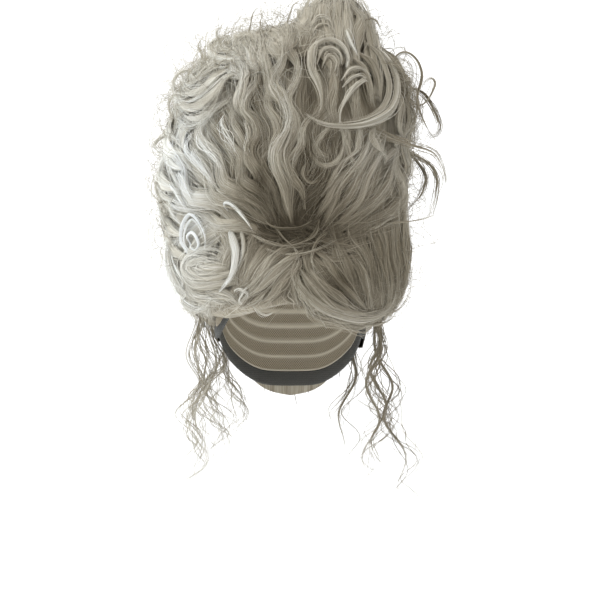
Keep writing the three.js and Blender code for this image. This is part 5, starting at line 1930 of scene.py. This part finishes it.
# %% Floor
FLOOR_LEVEL = -0.42
FLOOR_FRONT = -16.0
FLOOR_HALF = 14
SWEEP_START = 3.6
SWEEP_RADIUS = 1.0
SWEEP_STEPS = 12
WALL_HEIGHT = 6.0
PAPER_COLOR = (0.9, 0.9, 0.9, 1)
PAPER_ROUGHNESS = 0.9


def sweep_floor():
    """A pale floor that curves up into a backdrop behind the wig."""
    profile = [(FLOOR_FRONT, 0.0), (SWEEP_START, 0.0)]
    for k in range(1, SWEEP_STEPS + 1):
        angle = math.pi / 2 * k / SWEEP_STEPS
        profile.append((SWEEP_START + SWEEP_RADIUS * math.sin(angle), SWEEP_RADIUS * (1 - math.cos(angle))))
    profile.append((SWEEP_START + SWEEP_RADIUS, WALL_HEIGHT))
    corners = [(x, y, FLOOR_LEVEL + z) for y, z in profile for x in (-FLOOR_HALF, FLOOR_HALF)]
    faces = [(2 * i, 2 * i + 1, 2 * i + 3, 2 * i + 2) for i in range(len(profile) - 1)]
    mesh = bpy.data.meshes.new("floor")
    mesh.from_pydata(corners, [], faces)
    mesh.polygons.foreach_set("use_smooth", [True] * len(faces))
    paper = bpy.data.materials.new("pale_paper")
    paper.use_nodes = True
    shader = paper.node_tree.nodes["Principled BSDF"]
    shader.inputs["Base Color"].default_value = PAPER_COLOR
    shader.inputs["Roughness"].default_value = PAPER_ROUGHNESS
    mesh.materials.append(paper)
    floor = bpy.data.objects.new("floor", mesh)
    scene.collection.objects.link(floor)
    return floor


sweep_floor()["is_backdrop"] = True
print("the floor lies at", FLOOR_LEVEL, "m")

# %% [markdown]
# ## Light
# A soft window-like key from the left leaves the right side in warm shade. A weak fill from the front opens
# that shade, a rim from behind edges the haze on the left, and a lamp above lights the top. The fifth lamp
# only whitens the backdrop. All are large area lamps, because small ones draw hard lines on shiny fibre.

# %% Light
Light = namedtuple("Light", "name place aim size power color")
LIGHTS = [
    Light("window_key", (-1.9, -1.2, 1.3), (0, 0, 0.05), 2.0, 48, (0.92, 0.965, 1.0)),
    Light("front_fill", (0.6, -2.7, 0.9), (0, 0, 0), 2.0, 10, (1.0, 0.95, 0.87)),
    Light("left_rim", (-1.4, 1.2, 0.7), (0, 0, 0.05), 1.0, 20, (0.88, 0.95, 1.0)),
    Light("ceiling", (0.4, -0.5, 2.2), (0.02, 0, 0.1), 1.4, 14, (1.0, 0.98, 0.94)),
    Light("backdrop_wash", (0, 2.2, 3.4), (0, 4.2, 0.2), 4.0, 150, (1, 1, 1)),
]
WORLD_COLOR = (1, 1, 1, 1)
WORLD_STRENGTH = 0.55
for row in LIGHTS:
    lamp = bpy.data.objects.new(row.name, bpy.data.lights.new(row.name, "AREA"))
    lamp.data.size = row.size
    lamp.data.energy = row.power
    lamp.data.color = row.color
    lamp.location = row.place
    lamp.rotation_euler = (Vector(row.aim) - Vector(row.place)).to_track_quat("-Z", "Y").to_euler()
    scene.collection.objects.link(lamp)
world = bpy.data.worlds.new("studio")
world.use_nodes = True
sky = world.node_tree.nodes["Background"]
sky.inputs["Color"].default_value = WORLD_COLOR
sky.inputs["Strength"].default_value = WORLD_STRENGTH
scene.world = world
scene.view_settings.view_transform = "Standard"
print(len(LIGHTS), "lamps")

# %% [markdown]
# ## Sizes and finish
# Hair may stand a little proud of the solids, but not far. The box of the dressed wig is printed.

# %% Sizes and finish
low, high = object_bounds()
print("with the hair it reaches from", low, "to", high)
